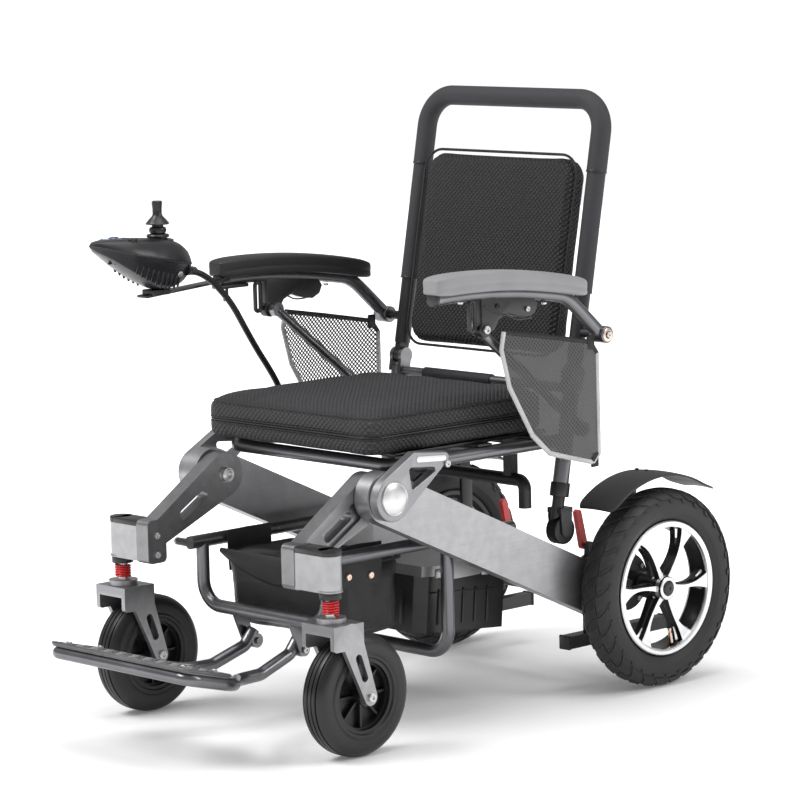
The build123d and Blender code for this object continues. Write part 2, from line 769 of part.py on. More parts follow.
def arm_casting():
    """Cast latch block under the armrest tube and the slotted link in front of it."""
    top = pad_underside(arm_pad_crown_y) - arm_tube_radius - 4
    outline = make_face(
        Polyline(
            (strut_top_y - 10, top),
            (strut_top_y + 96, top - 8),
            (strut_top_y + 104, top - 22),
            (strut_top_y + 90, top - 30),
            (strut_top_y + 46, top - 24),
            (strut_top_y + 16, strut_top_z - 10),
            (strut_top_y - 10, strut_top_z - 12),
            (strut_top_y - 10, top),
        )
    )
    low_x = strut_x + strut_radius + side_gap
    above = swept(arm_route(), arm_tube_radius, arm_bend)
    block = along_x(outline, low_x, casting_thickness) - above
    link_y = strut_top_y - 24
    link_outline = slot(link_y, top - 22, 60, 16, 84) - slot(link_y, top - 22, 46, 7, 84)
    link = along_x(link_outline, low_x + 4, 5) - above
    return Compound([*block.solids(), *link.solids()])


def arm_strut():
    """Diagonal strut from the lower post to just inboard of the latch block."""
    foot = (strut_x, strut_foot_y, strut_foot_z)
    head = (strut_x, strut_top_y, strut_top_z)
    body = swept([foot, head], strut_radius, 0)
    half = strut_radius - 1.5
    foot_eye = pin(strut_foot_y, strut_foot_z, strut_eye_radius, strut_x - half, strut_x + half)
    head_eye = pin(strut_top_y, strut_top_z, strut_eye_radius, strut_x - half, strut_x + half)
    bore_radius = strut_pin_radius + pin_clearance
    bore = pin(strut_foot_y, strut_foot_z, bore_radius, strut_x - 30, strut_x + 30)
    return body + foot_eye + head_eye - bore


def mesh_pocket():
    """Flat closed solid of the mesh side pocket."""
    outline = make_face(
        Polyline(
            (34, 588), (120, 574), (222, 556), (238, 536), (240, 380), (226, 366),
            (130, 392), (92, 424), (44, 502), (28, 560), (34, 588),
        )
    )
    body = along_x(outline, pocket_x - pocket_thickness / 2, pocket_thickness)
    return body - arm_casting() - pin(arm_pivot_y, arm_pivot_z, 16, 200, 280) - arm_tube()


# --- cargo frame, bag, battery and footrest ---
def cargo_frame():
    """Two side rails with a front hoop, a deeper rear hoop and the footrest brackets."""
    frame = None
    for side in (-1, 1):
        ends = [(side * rail_x, rail_front_y, rail_z), (side * rail_x, rail_rear_y, rail_z)]
        rail = swept(ends, rail_radius, 0)
        frame = rail if frame is None else frame + rail
    for y, low_z in ((front_hoop_y, front_hoop_z), (rear_hoop_y, rear_hoop_z)):
        points = [(rail_x, y, rail_z), (rail_x, y, low_z), (-rail_x, y, low_z), (-rail_x, y, rail_z)]
        frame = frame + swept(points, rail_radius, hoop_bend)
    for side in (-1, 1):
        inner = foot_pivot_x + foot_tube_radius + side_gap
        low = inner if side > 0 else -inner - bracket_plate
        crown = (front_hoop_y + 4, front_hoop_z - 4, 12)
        outline = hull_of((foot_pivot_y, foot_pivot_z, 10), crown)
        frame = frame + along_x(outline, low, bracket_plate)
        near = foot_pivot_x - foot_tube_radius - 4
        low, high = sorted((side * near, side * (inner + bracket_plate)))
        frame = frame + pin(foot_pivot_y, foot_pivot_z, foot_pin_radius, low, high)
        low, high = sorted((side * (rail_x + 2), side * (arm_inner_x + 14)))
        frame = frame + pin(rail_front_y, rail_z, rail_pin_radius, low, high)
    return frame


def storage_bag():
    """Closed fabric bag slung between the rails."""
    outline = make_face(
        Polyline(
            (bag_front_y, bag_top_z),
            (bag_rear_y, bag_top_z),
            (bag_rear_y - 6, bag_bottom_z),
            (bag_front_y + 14, bag_bottom_z),
            (bag_front_y, bag_top_z),
        )
    )
    body = along_x(outline, -bag_half_width, 2 * bag_half_width)
    return fillet(body.edges().group_by(Axis.Z)[0], 12)


def battery_place():
    """Centre and tilt of the battery box."""
    return Pos(0, battery_centre_y, battery_centre_z) * Rot(-battery_tilt, 0, 0)


def battery_box():
    """Battery case with chamfered front corners."""
    case = Box(battery_width, battery_length, battery_height)
    front = case.edges().filter_by(Axis.Z).group_by(Axis.Y)[0]
    case = chamfer(front, 16)
    cap = Pos(battery_width / 2 - 40, battery_length / 2 + 5, 12) * Rot(90, 0, 0) * Cylinder(19, 10)
    return battery_place() * (case + cap)


def battery_tray():
    """Pale metal tray that carries the battery from the rails."""
    lid = Box(battery_width, battery_length, tray_thickness)
    tray = battery_place() * Pos(0, 0, (battery_height + tray_thickness) / 2) * lid
    ears = None
    for side in (-1, 1):
        ear = Pos(side * (battery_width / 2 + 4), battery_centre_y, 230) * Box(12, 60, 58)
        ears = ear if ears is None else ears + ear
    return tray + ears - cargo_frame() - battery_box()


def footrest_tube():
    """Bent footrest loop with its two pivot ends."""
    def leg(side):
        return [
            (side * foot_pivot_x, foot_pivot_y, foot_pivot_z + foot_stub),
            (side * foot_pivot_x, foot_pivot_y - 18, foot_pivot_z - 6),
            (side * (foot_pivot_x + 4), foot_pivot_y - 80, foot_leg_z),
            (side * (foot_pivot_x + 8), foot_bend_y, foot_leg_z),
            (side * foot_half_width, foot_rear_y, foot_rear_z),
            (side * foot_half_width, foot_front_y, foot_front_z),
        ]

    points = leg(1) + leg(-1)[::-1]
    path = FilletPolyline(*points, radius=foot_bends + foot_bends[::-1])
    loop = sweep(Plane(origin=path @ 0, z_dir=path % 0) * Circle(foot_tube_radius), path)
    for side in (-1, 1):
        low = side * foot_pivot_x - foot_tube_radius
        high = low + 2 * foot_tube_radius
        loop = loop + pin(foot_pivot_y, foot_pivot_z, foot_eye_radius, low, high)
        bore_radius = foot_pin_radius + pin_clearance
        loop = loop - pin(foot_pivot_y, foot_pivot_z, bore_radius, low - 10, high + 10)
    return loop


def foot_plate():
    """Flat tread plate on top of the footrest loop."""
    rise = math.degrees(math.atan2(foot_front_z - foot_rear_z, foot_rear_y - foot_front_y))
    length = foot_rear_y - foot_front_y + 8
    middle_y = (foot_front_y + foot_rear_y) / 2 - 4
    lift = foot_tube_radius + foot_plate_thickness / 2 + slide_gap
    middle_z = (foot_front_z + foot_rear_z) / 2 + lift
    plate = Box(2 * foot_half_width + 8, length, foot_plate_thickness)
    plate = fillet(plate.edges().filter_by(Axis.Z), 14)
    return Pos(0, middle_y, middle_z) * Rot(-rise, 0, 0) * plate


# --- controller ---
def controller_case():
    """Wedge-shaped controller housing with a pointed nose."""
    side_view = make_face(
        Polyline(
            (-352, 716), (-330, 727), (-262, 722), (-196, 718), (-168, 692), (-168, 672),
            (-222, 644), (-262, 644), (-342, 700), (-352, 716),
        )
    )
    body = along_x(side_view, controller_x - controller_half_width, 2 * controller_half_width)
    half = controller_half_width
    plan = make_face(
        Polyline(
            (-half * 0.5, -356), (half * 0.5, -356), (half, -300), (half, -205),
            (half * 0.7, -164), (-half * 0.7, -164), (-half, -205), (-half, -300),
            (-half * 0.5, -356),
        )
    )
    body = body & (Pos(controller_x, 0, 600) * extrude(plan, amount=200))
    body = fillet(body.edges().filter_by(Axis.Z), 5)
    well = Pos(controller_x, stick_y, stick_pivot_z + 10) * Cylinder(well_radius, well_depth)
    body = body - well
    for place in button_places():
        body = body - place * Cylinder(button_radius + side_gap, 14)
    return body


def button_places():
    """Centres of the three buttons in front of the stick."""
    offsets = (-button_spacing, 0, button_spacing)
    return [Pos(controller_x + offset, stick_y - button_reach, button_z) for offset in offsets]


def button(place):
    """One round push button."""
    cap = Cylinder(button_radius, button_height)
    return place * fillet(cap.edges().group_by(Axis.Z)[-1], 1.0)


def joystick_ring():
    """Gimbal ring that carries the stick across the well."""
    ring = Cylinder(ring_radius, ring_height) - Cylinder(ring_bore, ring_height)
    reach = well_radius - 0.5
    inner = ring_radius - 1
    pins = pin(0, 0, gimbal_pin_radius, -reach, -inner) + pin(0, 0, gimbal_pin_radius, inner, reach)
    return Pos(controller_x, stick_y, stick_pivot_z) * (ring + pins)


def joystick_stick():
    """Stick with its cross pin, ball and knob."""
    ball = Sphere(8)
    cross = Rot(0, 0, 90) * pin(0, 0, gimbal_pin_radius, 0.5 - ring_bore, ring_bore - 0.5)
    height = stick_tip_z - stick_pivot_z
    rod = Pos(0, 0, height / 2) * Cylinder(4, height - 4)
    knob = Pos(0, 0, height - 14) * Cone(7, 8.5, 28)
    skirt = Pos(0, 0, 32) * Cone(19, 7, 12)
    return Pos(controller_x, stick_y, stick_pivot_z) * (ball + cross + rod + knob + skirt)


def controller_bracket():
    """Flat bar from the right armrest tube to the controller."""
    top = pad_underside(arm_front_y) - 2 * arm_tube_radius - slide_gap - 1
    length = bracket_length
    place = Pos(-arm_x, bracket_y, top - bracket_thickness / 2)
    bar = place * Box(bracket_width, length, bracket_thickness)
    height = bracket_top_z - top
    block = Pos(-arm_x, stick_y - 1, top + height / 2) * Box(30, 30, height)
    return bar + block - controller_case() - mirrored(arm_tube())


def controller_cable():
    """Cable from the controller down beside the seat, and its bend radii."""
    points = [Vector(*point) for point in cable_route]
    bends = []
    for before, here, after in zip(points, points[1:], points[2:]):
        first = here - before
        second = after - here
        turn = math.radians(first.get_angle(second))
        bends.append(0.45 * min(first.length, second.length) / math.tan(turn / 2))
    print("cable bend radii", [round(value, 1) for value in bends])
    path = FilletPolyline(*points, radius=bends)
    print("cable length", round(path.length, 1))
    cable = sweep(Plane(origin=path @ 0, z_dir=path % 0) * Circle(cable_radius), path)
    section = math.pi * cable_radius**2
    print("cable volume against section times length", round(cable.volume / (section * path.length), 4))
    return cable


def main():
    """Write every node."""
    os.makedirs("parts", exist_ok=True)
    save("side_beams", *both(side_beam()))
    motor = gear_motor() + lever_post()
    save("gear_motors", *both(motor))
    save("rear_cross_frame", rear_cross_frame())
    save("fenders", *both(fender()))
    save("front_arms", *both(front_arm()))
    save("lug_plates", *both(lug_plate()))
    save("hub_pins", *both(hub_pin()))
    save("caster_housings", *both(caster_housing()))
    save("seat_frame", seat_frame())
    save("lower_posts", *both(lower_post()))
    save("post_forks", *both(post_fork() - lower_post()))
    save("seat_subframe", seat_subframe())
    save("back_crossbar", back_crossbar())
    save("seat_cushion", seat_cushion())
    save("back_frame", back_frame())
    save("handle_grip", handle_grip())
    save("post_sleeves", *both(post_sleeve()))
    save("back_pad", back_pad())
    save("cargo_frame", cargo_frame())
    save("storage_bag", storage_bag())
    save("battery_box", battery_box())
    save("battery_tray", battery_tray())
    save("footrest_tube", footrest_tube())
    save("foot_plate", foot_plate())
    for side in ("left", "right"):
        save(f"release_lever_{side}", on_side(release_lever(), side))
        save(f"rear_tyre_{side}", on_side(rear_tyre(), side))
        save(f"rear_rim_{side}", on_side(rear_rim(), side))
        save(f"caster_stem_{side}", on_side(caster_stem(), side))
        save(f"caster_spring_{side}", on_side(caster_spring(), side))
        save(f"caster_fork_{side}", on_side(caster_fork(), side))
        save(f"caster_tyre_{side}", on_side(caster_tyre(), side))
        save(f"caster_hub_{side}", on_side(caster_hub(), side))
        save(f"post_roller_{side}", on_side(post_roller(), side))
        save(f"armrest_tube_{side}", on_side(arm_tube(), side))
        save(f"armrest_pad_{side}", on_side(arm_pad(), side))
        save(f"armrest_latch_{side}", on_side(arm_casting(), side))
        save(f"armrest_strut_{side}", on_side(arm_strut(), side))
        save(f"mesh_pocket_{side}", on_side(mesh_pocket(), side))
    save("controller_case", controller_case())
    save("controller_bracket", controller_bracket())
    save("joystick_ring", joystick_ring())
    save("joystick_stick", joystick_stick())
    save("controller_cable", controller_cable())
    for name, place in zip(("horn_button", "power_button", "speed_button"), button_places()):
        save(name, button(place))


main()
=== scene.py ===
import bpy
import bmesh
import math
from mathutils import Matrix, Vector


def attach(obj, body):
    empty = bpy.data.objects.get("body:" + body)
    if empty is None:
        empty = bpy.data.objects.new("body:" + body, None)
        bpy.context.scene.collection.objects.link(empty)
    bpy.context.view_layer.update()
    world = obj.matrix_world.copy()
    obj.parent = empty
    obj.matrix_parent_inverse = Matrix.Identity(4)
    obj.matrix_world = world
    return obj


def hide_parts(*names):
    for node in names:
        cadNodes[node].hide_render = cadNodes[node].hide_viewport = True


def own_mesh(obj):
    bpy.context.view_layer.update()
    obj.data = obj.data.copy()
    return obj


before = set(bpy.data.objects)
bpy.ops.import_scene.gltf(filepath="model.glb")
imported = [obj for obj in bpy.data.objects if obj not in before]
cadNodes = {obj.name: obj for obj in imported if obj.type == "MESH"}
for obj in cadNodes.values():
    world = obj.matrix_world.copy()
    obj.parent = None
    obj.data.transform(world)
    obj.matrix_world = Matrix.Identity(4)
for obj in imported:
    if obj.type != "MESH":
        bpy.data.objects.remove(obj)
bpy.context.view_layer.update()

mm = 0.001


# camera and cable come first
cameraView = {"place": (3.96605, -3.73688, 1.20331), "target": (-0.01316, 0.06389, 0.46031),
              "roll": -1.22, "lens": 162.6}


def aimCamera():
    place = Vector(cameraView["place"])
    ahead = (Vector(cameraView["target"]) - place).normalized()
    right = ahead.cross(Vector((0, 0, 1))).normalized()
    up = right.cross(ahead)
    roll = math.radians(cameraView["roll"])
    tiltedRight = right * math.cos(roll) + up * math.sin(roll)
    tiltedUp = up * math.cos(roll) - right * math.sin(roll)
    turn = Matrix((tiltedRight, tiltedUp, -ahead)).transposed().to_4x4()
    turn.translation = place
    bpy.ops.object.camera_add()
    camera = bpy.context.object
    camera.matrix_world = turn
    camera.data.lens = cameraView["lens"]
    camera.data.sensor_width = 36
    bpy.context.scene.camera = camera


aimCamera()

cableShape = {
    "points": [
        (-206, -187, 669), (-206, -172, 667), (-206, -150, 655), (-206, -130, 638), (-206, -104, 611),
        (-206, -80, 573), (-205, -55, 534), (-205, -33, 505), (-206, -12, 474), (-206, 2, 444),
    ],
    "radius": 5,
    "length": 301.5,
}


def makeCable():
    curve = bpy.data.curves.new("controllerCable", "CURVE")
    curve.dimensions = "3D"
    line = curve.splines.new("NURBS")
    line.points.add(len(cableShape["points"]) - 1)
    for point, place in zip(line.points, cableShape["points"]):
        point.co = [value * mm for value in place] + [1]
    line.order_u = 3
    line.use_endpoint_u = True
    line.resolution_u = 12
    cable = bpy.data.objects.new("controllerCable", curve)
    bpy.context.scene.collection.objects.link(cable)
    path = [vertex.co[:] for vertex in cable.to_mesh().vertices]
    cable.to_mesh_clear()
    curve.bevel_depth = cableShape["radius"] * mm
    curve.bevel_resolution = 6
    curve.use_fill_caps = True
    bpy.ops.object.select_all(action="DESELECT")
    cable.select_set(True)
    bpy.context.view_layer.objects.active = cable
    bpy.ops.object.convert(target="MESH")
    cable = bpy.context.object
    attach(cable, "seat")
    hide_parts("controller_cable")
    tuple(path[0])
    return cable


cable = makeCable()
print("camera and cable placed")


# shared effects
def makeGroup(name, inputs, outputs):
    group = bpy.data.node_groups.new(name, "ShaderNodeTree")
    for label, kind, value in inputs:
        socket = group.interface.new_socket(name=label, in_out="INPUT", socket_type=kind)
        if value is not None:
            socket.default_value = value
    for label in outputs:
        group.interface.new_socket(name=label, in_out="OUTPUT", socket_type="NodeSocketFloat")
    return group, group.nodes.new("NodeGroupInput"), group.nodes.new("NodeGroupOutput")


def addNode(tree, kind, **settings):
    node = tree.nodes.new(kind)
    for name, value in settings.items():
        if name.startswith("in"):
            node.inputs[int(name[2:])].default_value = value
        else:
            setattr(node, name, value)
    return node


def mathNode(tree, operation, first, second=None, clamp=False):
    node = addNode(tree, "ShaderNodeMath", operation=operation, use_clamp=clamp)
    for socket, value in zip(node.inputs, (first, second)):
        if value is None:
            continue
        if isinstance(value, (int, float)):
            socket.default_value = value
        else:
            tree.links.new(value, socket)
    return node.outputs[0]


def makeMottle():
    tree, given, put = makeGroup("mottle", [("Scale", "NodeSocketFloat", 20.0),
                                            ("Grain", "NodeSocketFloat", 900.0)],
                                 ["Tone", "Height"])
    place = addNode(tree, "ShaderNodeTexCoord").outputs["Object"]
    broad = addNode(tree, "ShaderNodeTexNoise")
    broad.inputs["Detail"].default_value = 5
    fine = addNode(tree, "ShaderNodeTexNoise")
    fine.inputs["Detail"].default_value = 3
    for node, label in ((broad, "Scale"), (fine, "Grain")):
        tree.links.new(place, node.inputs["Vector"])
        tree.links.new(given.outputs[label], node.inputs["Scale"])
    tree.links.new(broad.outputs[0], put.inputs["Tone"])
    tree.links.new(fine.outputs[0], put.inputs["Height"])
    return tree


def makeEdgeWear():
    tree, given, put = makeGroup("edgeWear", [("Start", "NodeSocketFloat", 0.53),
                                              ("Broken", "NodeSocketFloat", 60.0)], ["Mask"])
    shape = addNode(tree, "ShaderNodeNewGeometry")
    place = addNode(tree, "ShaderNodeTexCoord").outputs["Object"]
    noise = addNode(tree, "ShaderNodeTexNoise")
    noise.inputs["Detail"].default_value = 6
    tree.links.new(place, noise.inputs["Vector"])
    tree.links.new(given.outputs["Broken"], noise.inputs["Scale"])
    above = mathNode(tree, "SUBTRACT", shape.outputs["Pointiness"], given.outputs["Start"])
    strong = mathNode(tree, "MULTIPLY", above, 14.0, clamp=True)
    patchy = mathNode(tree, "MULTIPLY", strong, noise.outputs[0])
    tree.links.new(patchy, put.inputs["Mask"])
    return tree


def makeBrushed():
    tree, given, put = makeGroup("brushed", [("Stretch", "NodeSocketVector", (4.0, 4.0, 400.0))],
                                 ["Tone", "Height"])
    place = addNode(tree, "ShaderNodeTexCoord").outputs["Object"]
    stretched = addNode(tree, "ShaderNodeVectorMath", operation="MULTIPLY")
    tree.links.new(place, stretched.inputs[0])
    tree.links.new(given.outputs["Stretch"], stretched.inputs[1])
    noise = addNode(tree, "ShaderNodeTexNoise")
    noise.inputs["Scale"].default_value = 1.0
    noise.inputs["Detail"].default_value = 4
    tree.links.new(stretched.outputs[0], noise.inputs["Vector"])
    tree.links.new(noise.outputs[0], put.inputs["Tone"])
    tree.links.new(noise.outputs[0], put.inputs["Height"])
    return tree


def makeSpacer():
    # knitted spacer fabric: raised cells in staggered rows with a small hole in each; the Hole mask is where
    # the holes get painted shade
    tree, given, put = makeGroup("spacer", [("Cell", "NodeSocketFloat", 400.0)], ["Height", "Hole"])
    place = addNode(tree, "ShaderNodeTexCoord").outputs["UV"]
    parts = addNode(tree, "ShaderNodeSeparateXYZ")
    tree.links.new(place, parts.inputs[0])
    across = mathNode(tree, "MULTIPLY", parts.outputs[0], given.outputs["Cell"])
    along = mathNode(tree, "MULTIPLY", parts.outputs[1], given.outputs["Cell"])
    rising = mathNode(tree, "SINE", mathNode(tree, "ADD", across, along))
    falling = mathNode(tree, "SINE", mathNode(tree, "SUBTRACT", across, along))
    cells = mathNode(tree, "MULTIPLY", rising, falling)
    lifted = mathNode(tree, "ABSOLUTE", cells)
    height = mathNode(tree, "POWER", lifted, 0.6)
    deep = mathNode(tree, "SUBTRACT", 0.35, lifted)
    hole = mathNode(tree, "MULTIPLY", deep, 2.6, clamp=True)
    tree.links.new(height, put.inputs["Height"])
    tree.links.new(hole, put.inputs["Hole"])
    return tree


def makeWeave():
    tree, given, put = makeGroup("weave", [("Thread", "NodeSocketFloat", 2500.0)], ["Height", "Tone"])
    place = addNode(tree, "ShaderNodeTexCoord").outputs["UV"]
    parts = addNode(tree, "ShaderNodeSeparateXYZ")
    tree.links.new(place, parts.inputs[0])
    over = mathNode(tree, "SINE", mathNode(tree, "MULTIPLY", parts.outputs[0], given.outputs["Thread"]))
    under = mathNode(tree, "SINE", mathNode(tree, "MULTIPLY", parts.outputs[1], given.outputs["Thread"]))
    height = mathNode(tree, "MULTIPLY", over, under)
    noise = addNode(tree, "ShaderNodeTexNoise")
    noise.inputs["Scale"].default_value = 12.0
    tree.links.new(place, noise.inputs["Vector"])
    tree.links.new(height, put.inputs["Height"])
    tree.links.new(noise.outputs[0], put.inputs["Tone"])
    return tree


effects = {
    "mottle": makeMottle(), "edgeWear": makeEdgeWear(), "brushed": makeBrushed(),
    "spacer": makeSpacer(), "weave": makeWeave(),
}


def useEffect(tree, name, **values):
    node = addNode(tree, "ShaderNodeGroup", node_tree=effects[name])
    for label, value in values.items():
        node.inputs[label].default_value = value
    return node


# materials: tone is the main colour, other the one it drifts to
def makeMaterial(name, tone, other, metallic=0.0, rough=(0.4, 0.5), grain=900.0, bump=0.1, depth=0.0002,
                 drift=18.0,
                 wear=0.0, wearTone=(0.5, 0.5, 0.5), pattern=None, cell=400.0, stretch=None, **sockets):
    material = bpy.data.materials.new(name)
    material.use_nodes = True
    tree = material.node_tree
    shader = tree.nodes["Principled BSDF"]
    shader.inputs["Metallic"].default_value = metallic
    for label, value in sockets.items():
        shader.inputs[label].default_value = value
    mottle = useEffect(tree, "mottle", Scale=drift, Grain=grain)
    toneSource, heightSource = mottle.outputs["Tone"], mottle.outputs["Height"]
    if pattern == "brushed":
        brushed = useEffect(tree, "brushed", Stretch=stretch)
        toneSource = mathNode(tree, "MULTIPLY",
                              mathNode(tree, "ADD", brushed.outputs["Tone"], mottle.outputs["Tone"]), 0.5)
        heightSource = brushed.outputs["Height"]
    if pattern == "weave":
        heightSource = useEffect(tree, "weave", Thread=cell).outputs["Height"]
    mix = addNode(tree, "ShaderNodeMix", data_type="RGBA")
    mix.inputs[6].default_value = (*tone, 1)
    mix.inputs[7].default_value = (*other, 1)
    spread = addNode(tree, "ShaderNodeMapRange", in1=0.3, in2=0.7)
    tree.links.new(toneSource, spread.inputs[0])
    tree.links.new(spread.outputs[0], mix.inputs[0])
    colour = mix.outputs[2]
    if pattern == "spacer":
        spacer = useEffect(tree, "spacer", Cell=cell)
        heightSource = spacer.outputs["Height"]
        # painted shade: each hole of the spacer fabric is darkened to a quarter of the tone
        holeShade = addNode(tree, "ShaderNodeMix", data_type="RGBA")
        holeShade.inputs[7].default_value = (*[value * 0.25 for value in tone], 1)
        tree.links.new(spacer.outputs["Hole"], holeShade.inputs[0])
        tree.links.new(colour, holeShade.inputs[6])
        colour = holeShade.outputs[2]
    if wear:
        worn = useEffect(tree, "edgeWear")
        edge = addNode(tree, "ShaderNodeMix", data_type="RGBA")
        edge.inputs[7].default_value = (*wearTone, 1)
        tree.links.new(mathNode(tree, "MULTIPLY", worn.outputs["Mask"], wear), edge.inputs[0])
        tree.links.new(colour, edge.inputs[6])
        colour = edge.outputs[2]
    tree.links.new(colour, shader.inputs["Base Color"])
    gloss = addNode(tree, "ShaderNodeMapRange", in1=0.3, in2=0.7, in3=rough[0], in4=rough[1])
    tree.links.new(mottle.outputs["Tone"], gloss.inputs[0])
    tree.links.new(gloss.outputs[0], shader.inputs["Roughness"])
    relief = addNode(tree, "ShaderNodeBump")
    relief.inputs["Strength"].default_value = bump
    relief.inputs["Distance"].default_value = depth
    tree.links.new(heightSource, relief.inputs["Height"])
    tree.links.new(relief.outputs[0], shader.inputs["Normal"])
    return material


def grey(value, blue=0.0):
    return (value, value, value + blue)


finishes = {
    "frameGrey": makeMaterial("frameGrey", grey(0.15, 0.01), grey(0.18, 0.01), 0.9, (0.27, 0.34), 2600,
                              0.08, wear=0.5,
                              wearTone=grey(0.42)),
    "castGrey": makeMaterial("castGrey", grey(0.26, 0.012), grey(0.31, 0.012), 0.85, (0.36, 0.44), 1800,
                             0.16, wear=0.6,
                             wearTone=grey(0.55)),
    "armGrey": makeMaterial("armGrey", grey(0.15, 0.008), grey(0.18, 0.01), 0.85, (0.34, 0.42), 1800,
                            0.16, wear=0.6,
                            wearTone=grey(0.4)),
    "brushedBeam": makeMaterial("brushedBeam", grey(0.27, 0.016), grey(0.33, 0.016), 0.9, (0.33, 0.42),
                                bump=0.12,
                                pattern="brushed", stretch=(300.0, 9.0, 300.0), wear=0.4,
                                wearTone=grey(0.6)),
    "blackFrame": makeMaterial("blackFrame", grey(0.007, 0.001), grey(0.011, 0.001), 0.0, (0.34, 0.45),
                               1500, 0.2, wear=0.4,
                               wearTone=grey(0.09)),
    "brightSteel": makeMaterial("brightSteel", grey(0.6), grey(0.68), 1.0, (0.32, 0.4), 1200, 0.06),
    "rimSilver": makeMaterial("rimSilver", grey(0.72, 0.01), grey(0.8, 0.01), 1.0, (0.24, 0.34), 1200, 0.05),
    "rimBlack": makeMaterial("rimBlack", grey(0.006), grey(0.009), 0.0, (0.25, 0.35), 1500, 0.12),
    "tyreBlack": makeMaterial("tyreBlack", grey(0.009, 0.001), grey(0.015, 0.002), 0.0, (0.5, 0.64), 700,
                              0.35,
                              depth=0.0004, wear=0.5, wearTone=grey(0.06)),
    "casterBlack": makeMaterial("casterBlack", grey(0.006), grey(0.01, 0.001), 0.0, (0.34, 0.46), 900,
                                0.15, wear=0.3,
                                wearTone=grey(0.05)),
    "blackPlastic": makeMaterial("blackPlastic", grey(0.006, 0.001), grey(0.01, 0.001), 0.0, (0.32, 0.42),
                                 2400, 0.25,
                                 wear=0.3, wearTone=grey(0.07)),
    "foamBlack": makeMaterial("foamBlack", grey(0.02, 0.004), grey(0.028, 0.005), 0.0, (0.62, 0.75), 3000,
                              0.5,
                              depth=0.0003),
    "padGrey": makeMaterial("padGrey", grey(0.21, 0.01), grey(0.25, 0.01), 0.0, (0.5, 0.6), 2200, 0.3),
    # painted shade: a darkened copy of padGrey, used for the far (right) armrest pad
    "padBlack": makeMaterial("padBlack", grey(0.007, 0.001), grey(0.011, 0.002), 0.0, (0.5, 0.6), 2200, 0.3),
    "seatFabric": makeMaterial("seatFabric", grey(0.02, 0.003), grey(0.03, 0.004), 0.0, (0.6, 0.75),
                               bump=0.9,
                               depth=0.002, pattern="spacer", cell=380.0),
    "seatSide": makeMaterial("seatSide", grey(0.026, 0.002), grey(0.038, 0.003), 0.0, (0.6, 0.75), bump=1.0,
                             depth=0.0024, pattern="spacer", cell=340.0),
    "backFabric": makeMaterial("backFabric", grey(0.009, 0.001), grey(0.015, 0.002), 0.0, (0.6, 0.75),
                               bump=1.0,
                               depth=0.0022, pattern="spacer", cell=380.0),
    "bagFabric": makeMaterial("bagFabric", grey(0.006), grey(0.01, 0.001), 0.0, (0.4, 0.55), bump=0.35,
                              depth=0.0005,
                              pattern="weave", cell=4200.0, drift=30.0),
    "bindingPale": makeMaterial("bindingPale", grey(0.5), grey(0.6), 0.0, (0.6, 0.75), bump=0.5,
                                depth=0.0005,
                                pattern="weave", cell=5000.0),
    "bandBlack": makeMaterial("bandBlack", grey(0.006), grey(0.01), 0.0, (0.5, 0.62), bump=0.5, depth=0.0005,
                              pattern="weave", cell=5000.0),
    "springRed": makeMaterial("springRed", (0.5, 0.012, 0.014), (0.6, 0.02, 0.02), 0.0, (0.22, 0.32),
                              1500, 0.1),
    "leverRed": makeMaterial("leverRed", (0.55, 0.015, 0.018), (0.66, 0.025, 0.026), 0.0, (0.28, 0.36),
                             1500, 0.12,
                             wear=0.3, wearTone=(0.8, 0.2, 0.2)),
    "treadPlate": makeMaterial("treadPlate", grey(0.05, 0.003), grey(0.09, 0.004), 0.5, (0.35, 0.5), 900,
                               0.25,
                               wear=0.8, wearTone=grey(0.4)),
    "paleMetal": makeMaterial("paleMetal", grey(0.42), grey(0.5), 0.9, (0.35, 0.45), 1200, 0.15),
    "copper": makeMaterial("copper", (0.72, 0.52, 0.42), (0.8, 0.62, 0.52), 1.0, (0.25, 0.34), 1200, 0.05),
    "reflectorWhite": makeMaterial("reflectorWhite", grey(0.7, 0.02), grey(0.85, 0.02), 0.2, (0.2, 0.3),
                                   3000, 0.3),
    "iconBlue": makeMaterial("iconBlue", (0.25, 0.38, 0.62), (0.35, 0.48, 0.7), 0.0, (0.3, 0.4), 2000, 0.1),
}


def makeMeshMaterial(name, thread, gap, cover):
    # open net: the threads are diamonds on the piece's own UV map, the gaps let some light through
    material = bpy.data.materials.new(name)
    material.use_nodes = True
    tree = material.node_tree
    shader = tree.nodes["Principled BSDF"]
    spacer = useEffect(tree, "spacer", Cell=430.0)
    mottle = useEffect(tree, "mottle", Scale=30.0, Grain=2500.0)
    drift = addNode(tree, "ShaderNodeMix", data_type="RGBA")
    drift.inputs[6].default_value = (*thread, 1)
    drift.inputs[7].default_value = (*[value * 1.3 for value in thread], 1)
    tree.links.new(mottle.outputs["Tone"], drift.inputs[0])
    mix = addNode(tree, "ShaderNodeMix", data_type="RGBA")
    mix.inputs[6].default_value = (*gap, 1)
    tree.links.new(drift.outputs[2], mix.inputs[7])
    solid = mathNode(tree, "MULTIPLY", mathNode(tree, "SUBTRACT", 0.7, spacer.outputs["Height"]), 30.0,
                     clamp=True)
    tree.links.new(solid, mix.inputs[0])
    tree.links.new(mix.outputs[2], shader.inputs["Base Color"])
    shader.inputs["Roughness"].default_value = 0.6
    alpha = addNode(tree, "ShaderNodeMapRange", in3=cover, in4=1.0)
    tree.links.new(solid, alpha.inputs[0])
    tree.links.new(alpha.outputs[0], shader.inputs["Alpha"])
    relief = addNode(tree, "ShaderNodeBump")
    relief.inputs["Strength"].default_value = 0.4
    relief.inputs["Distance"].default_value = 0.0005
    tree.links.new(mottle.outputs["Height"], relief.inputs["Height"])
    tree.links.new(relief.outputs[0], shader.inputs["Normal"])
    return material


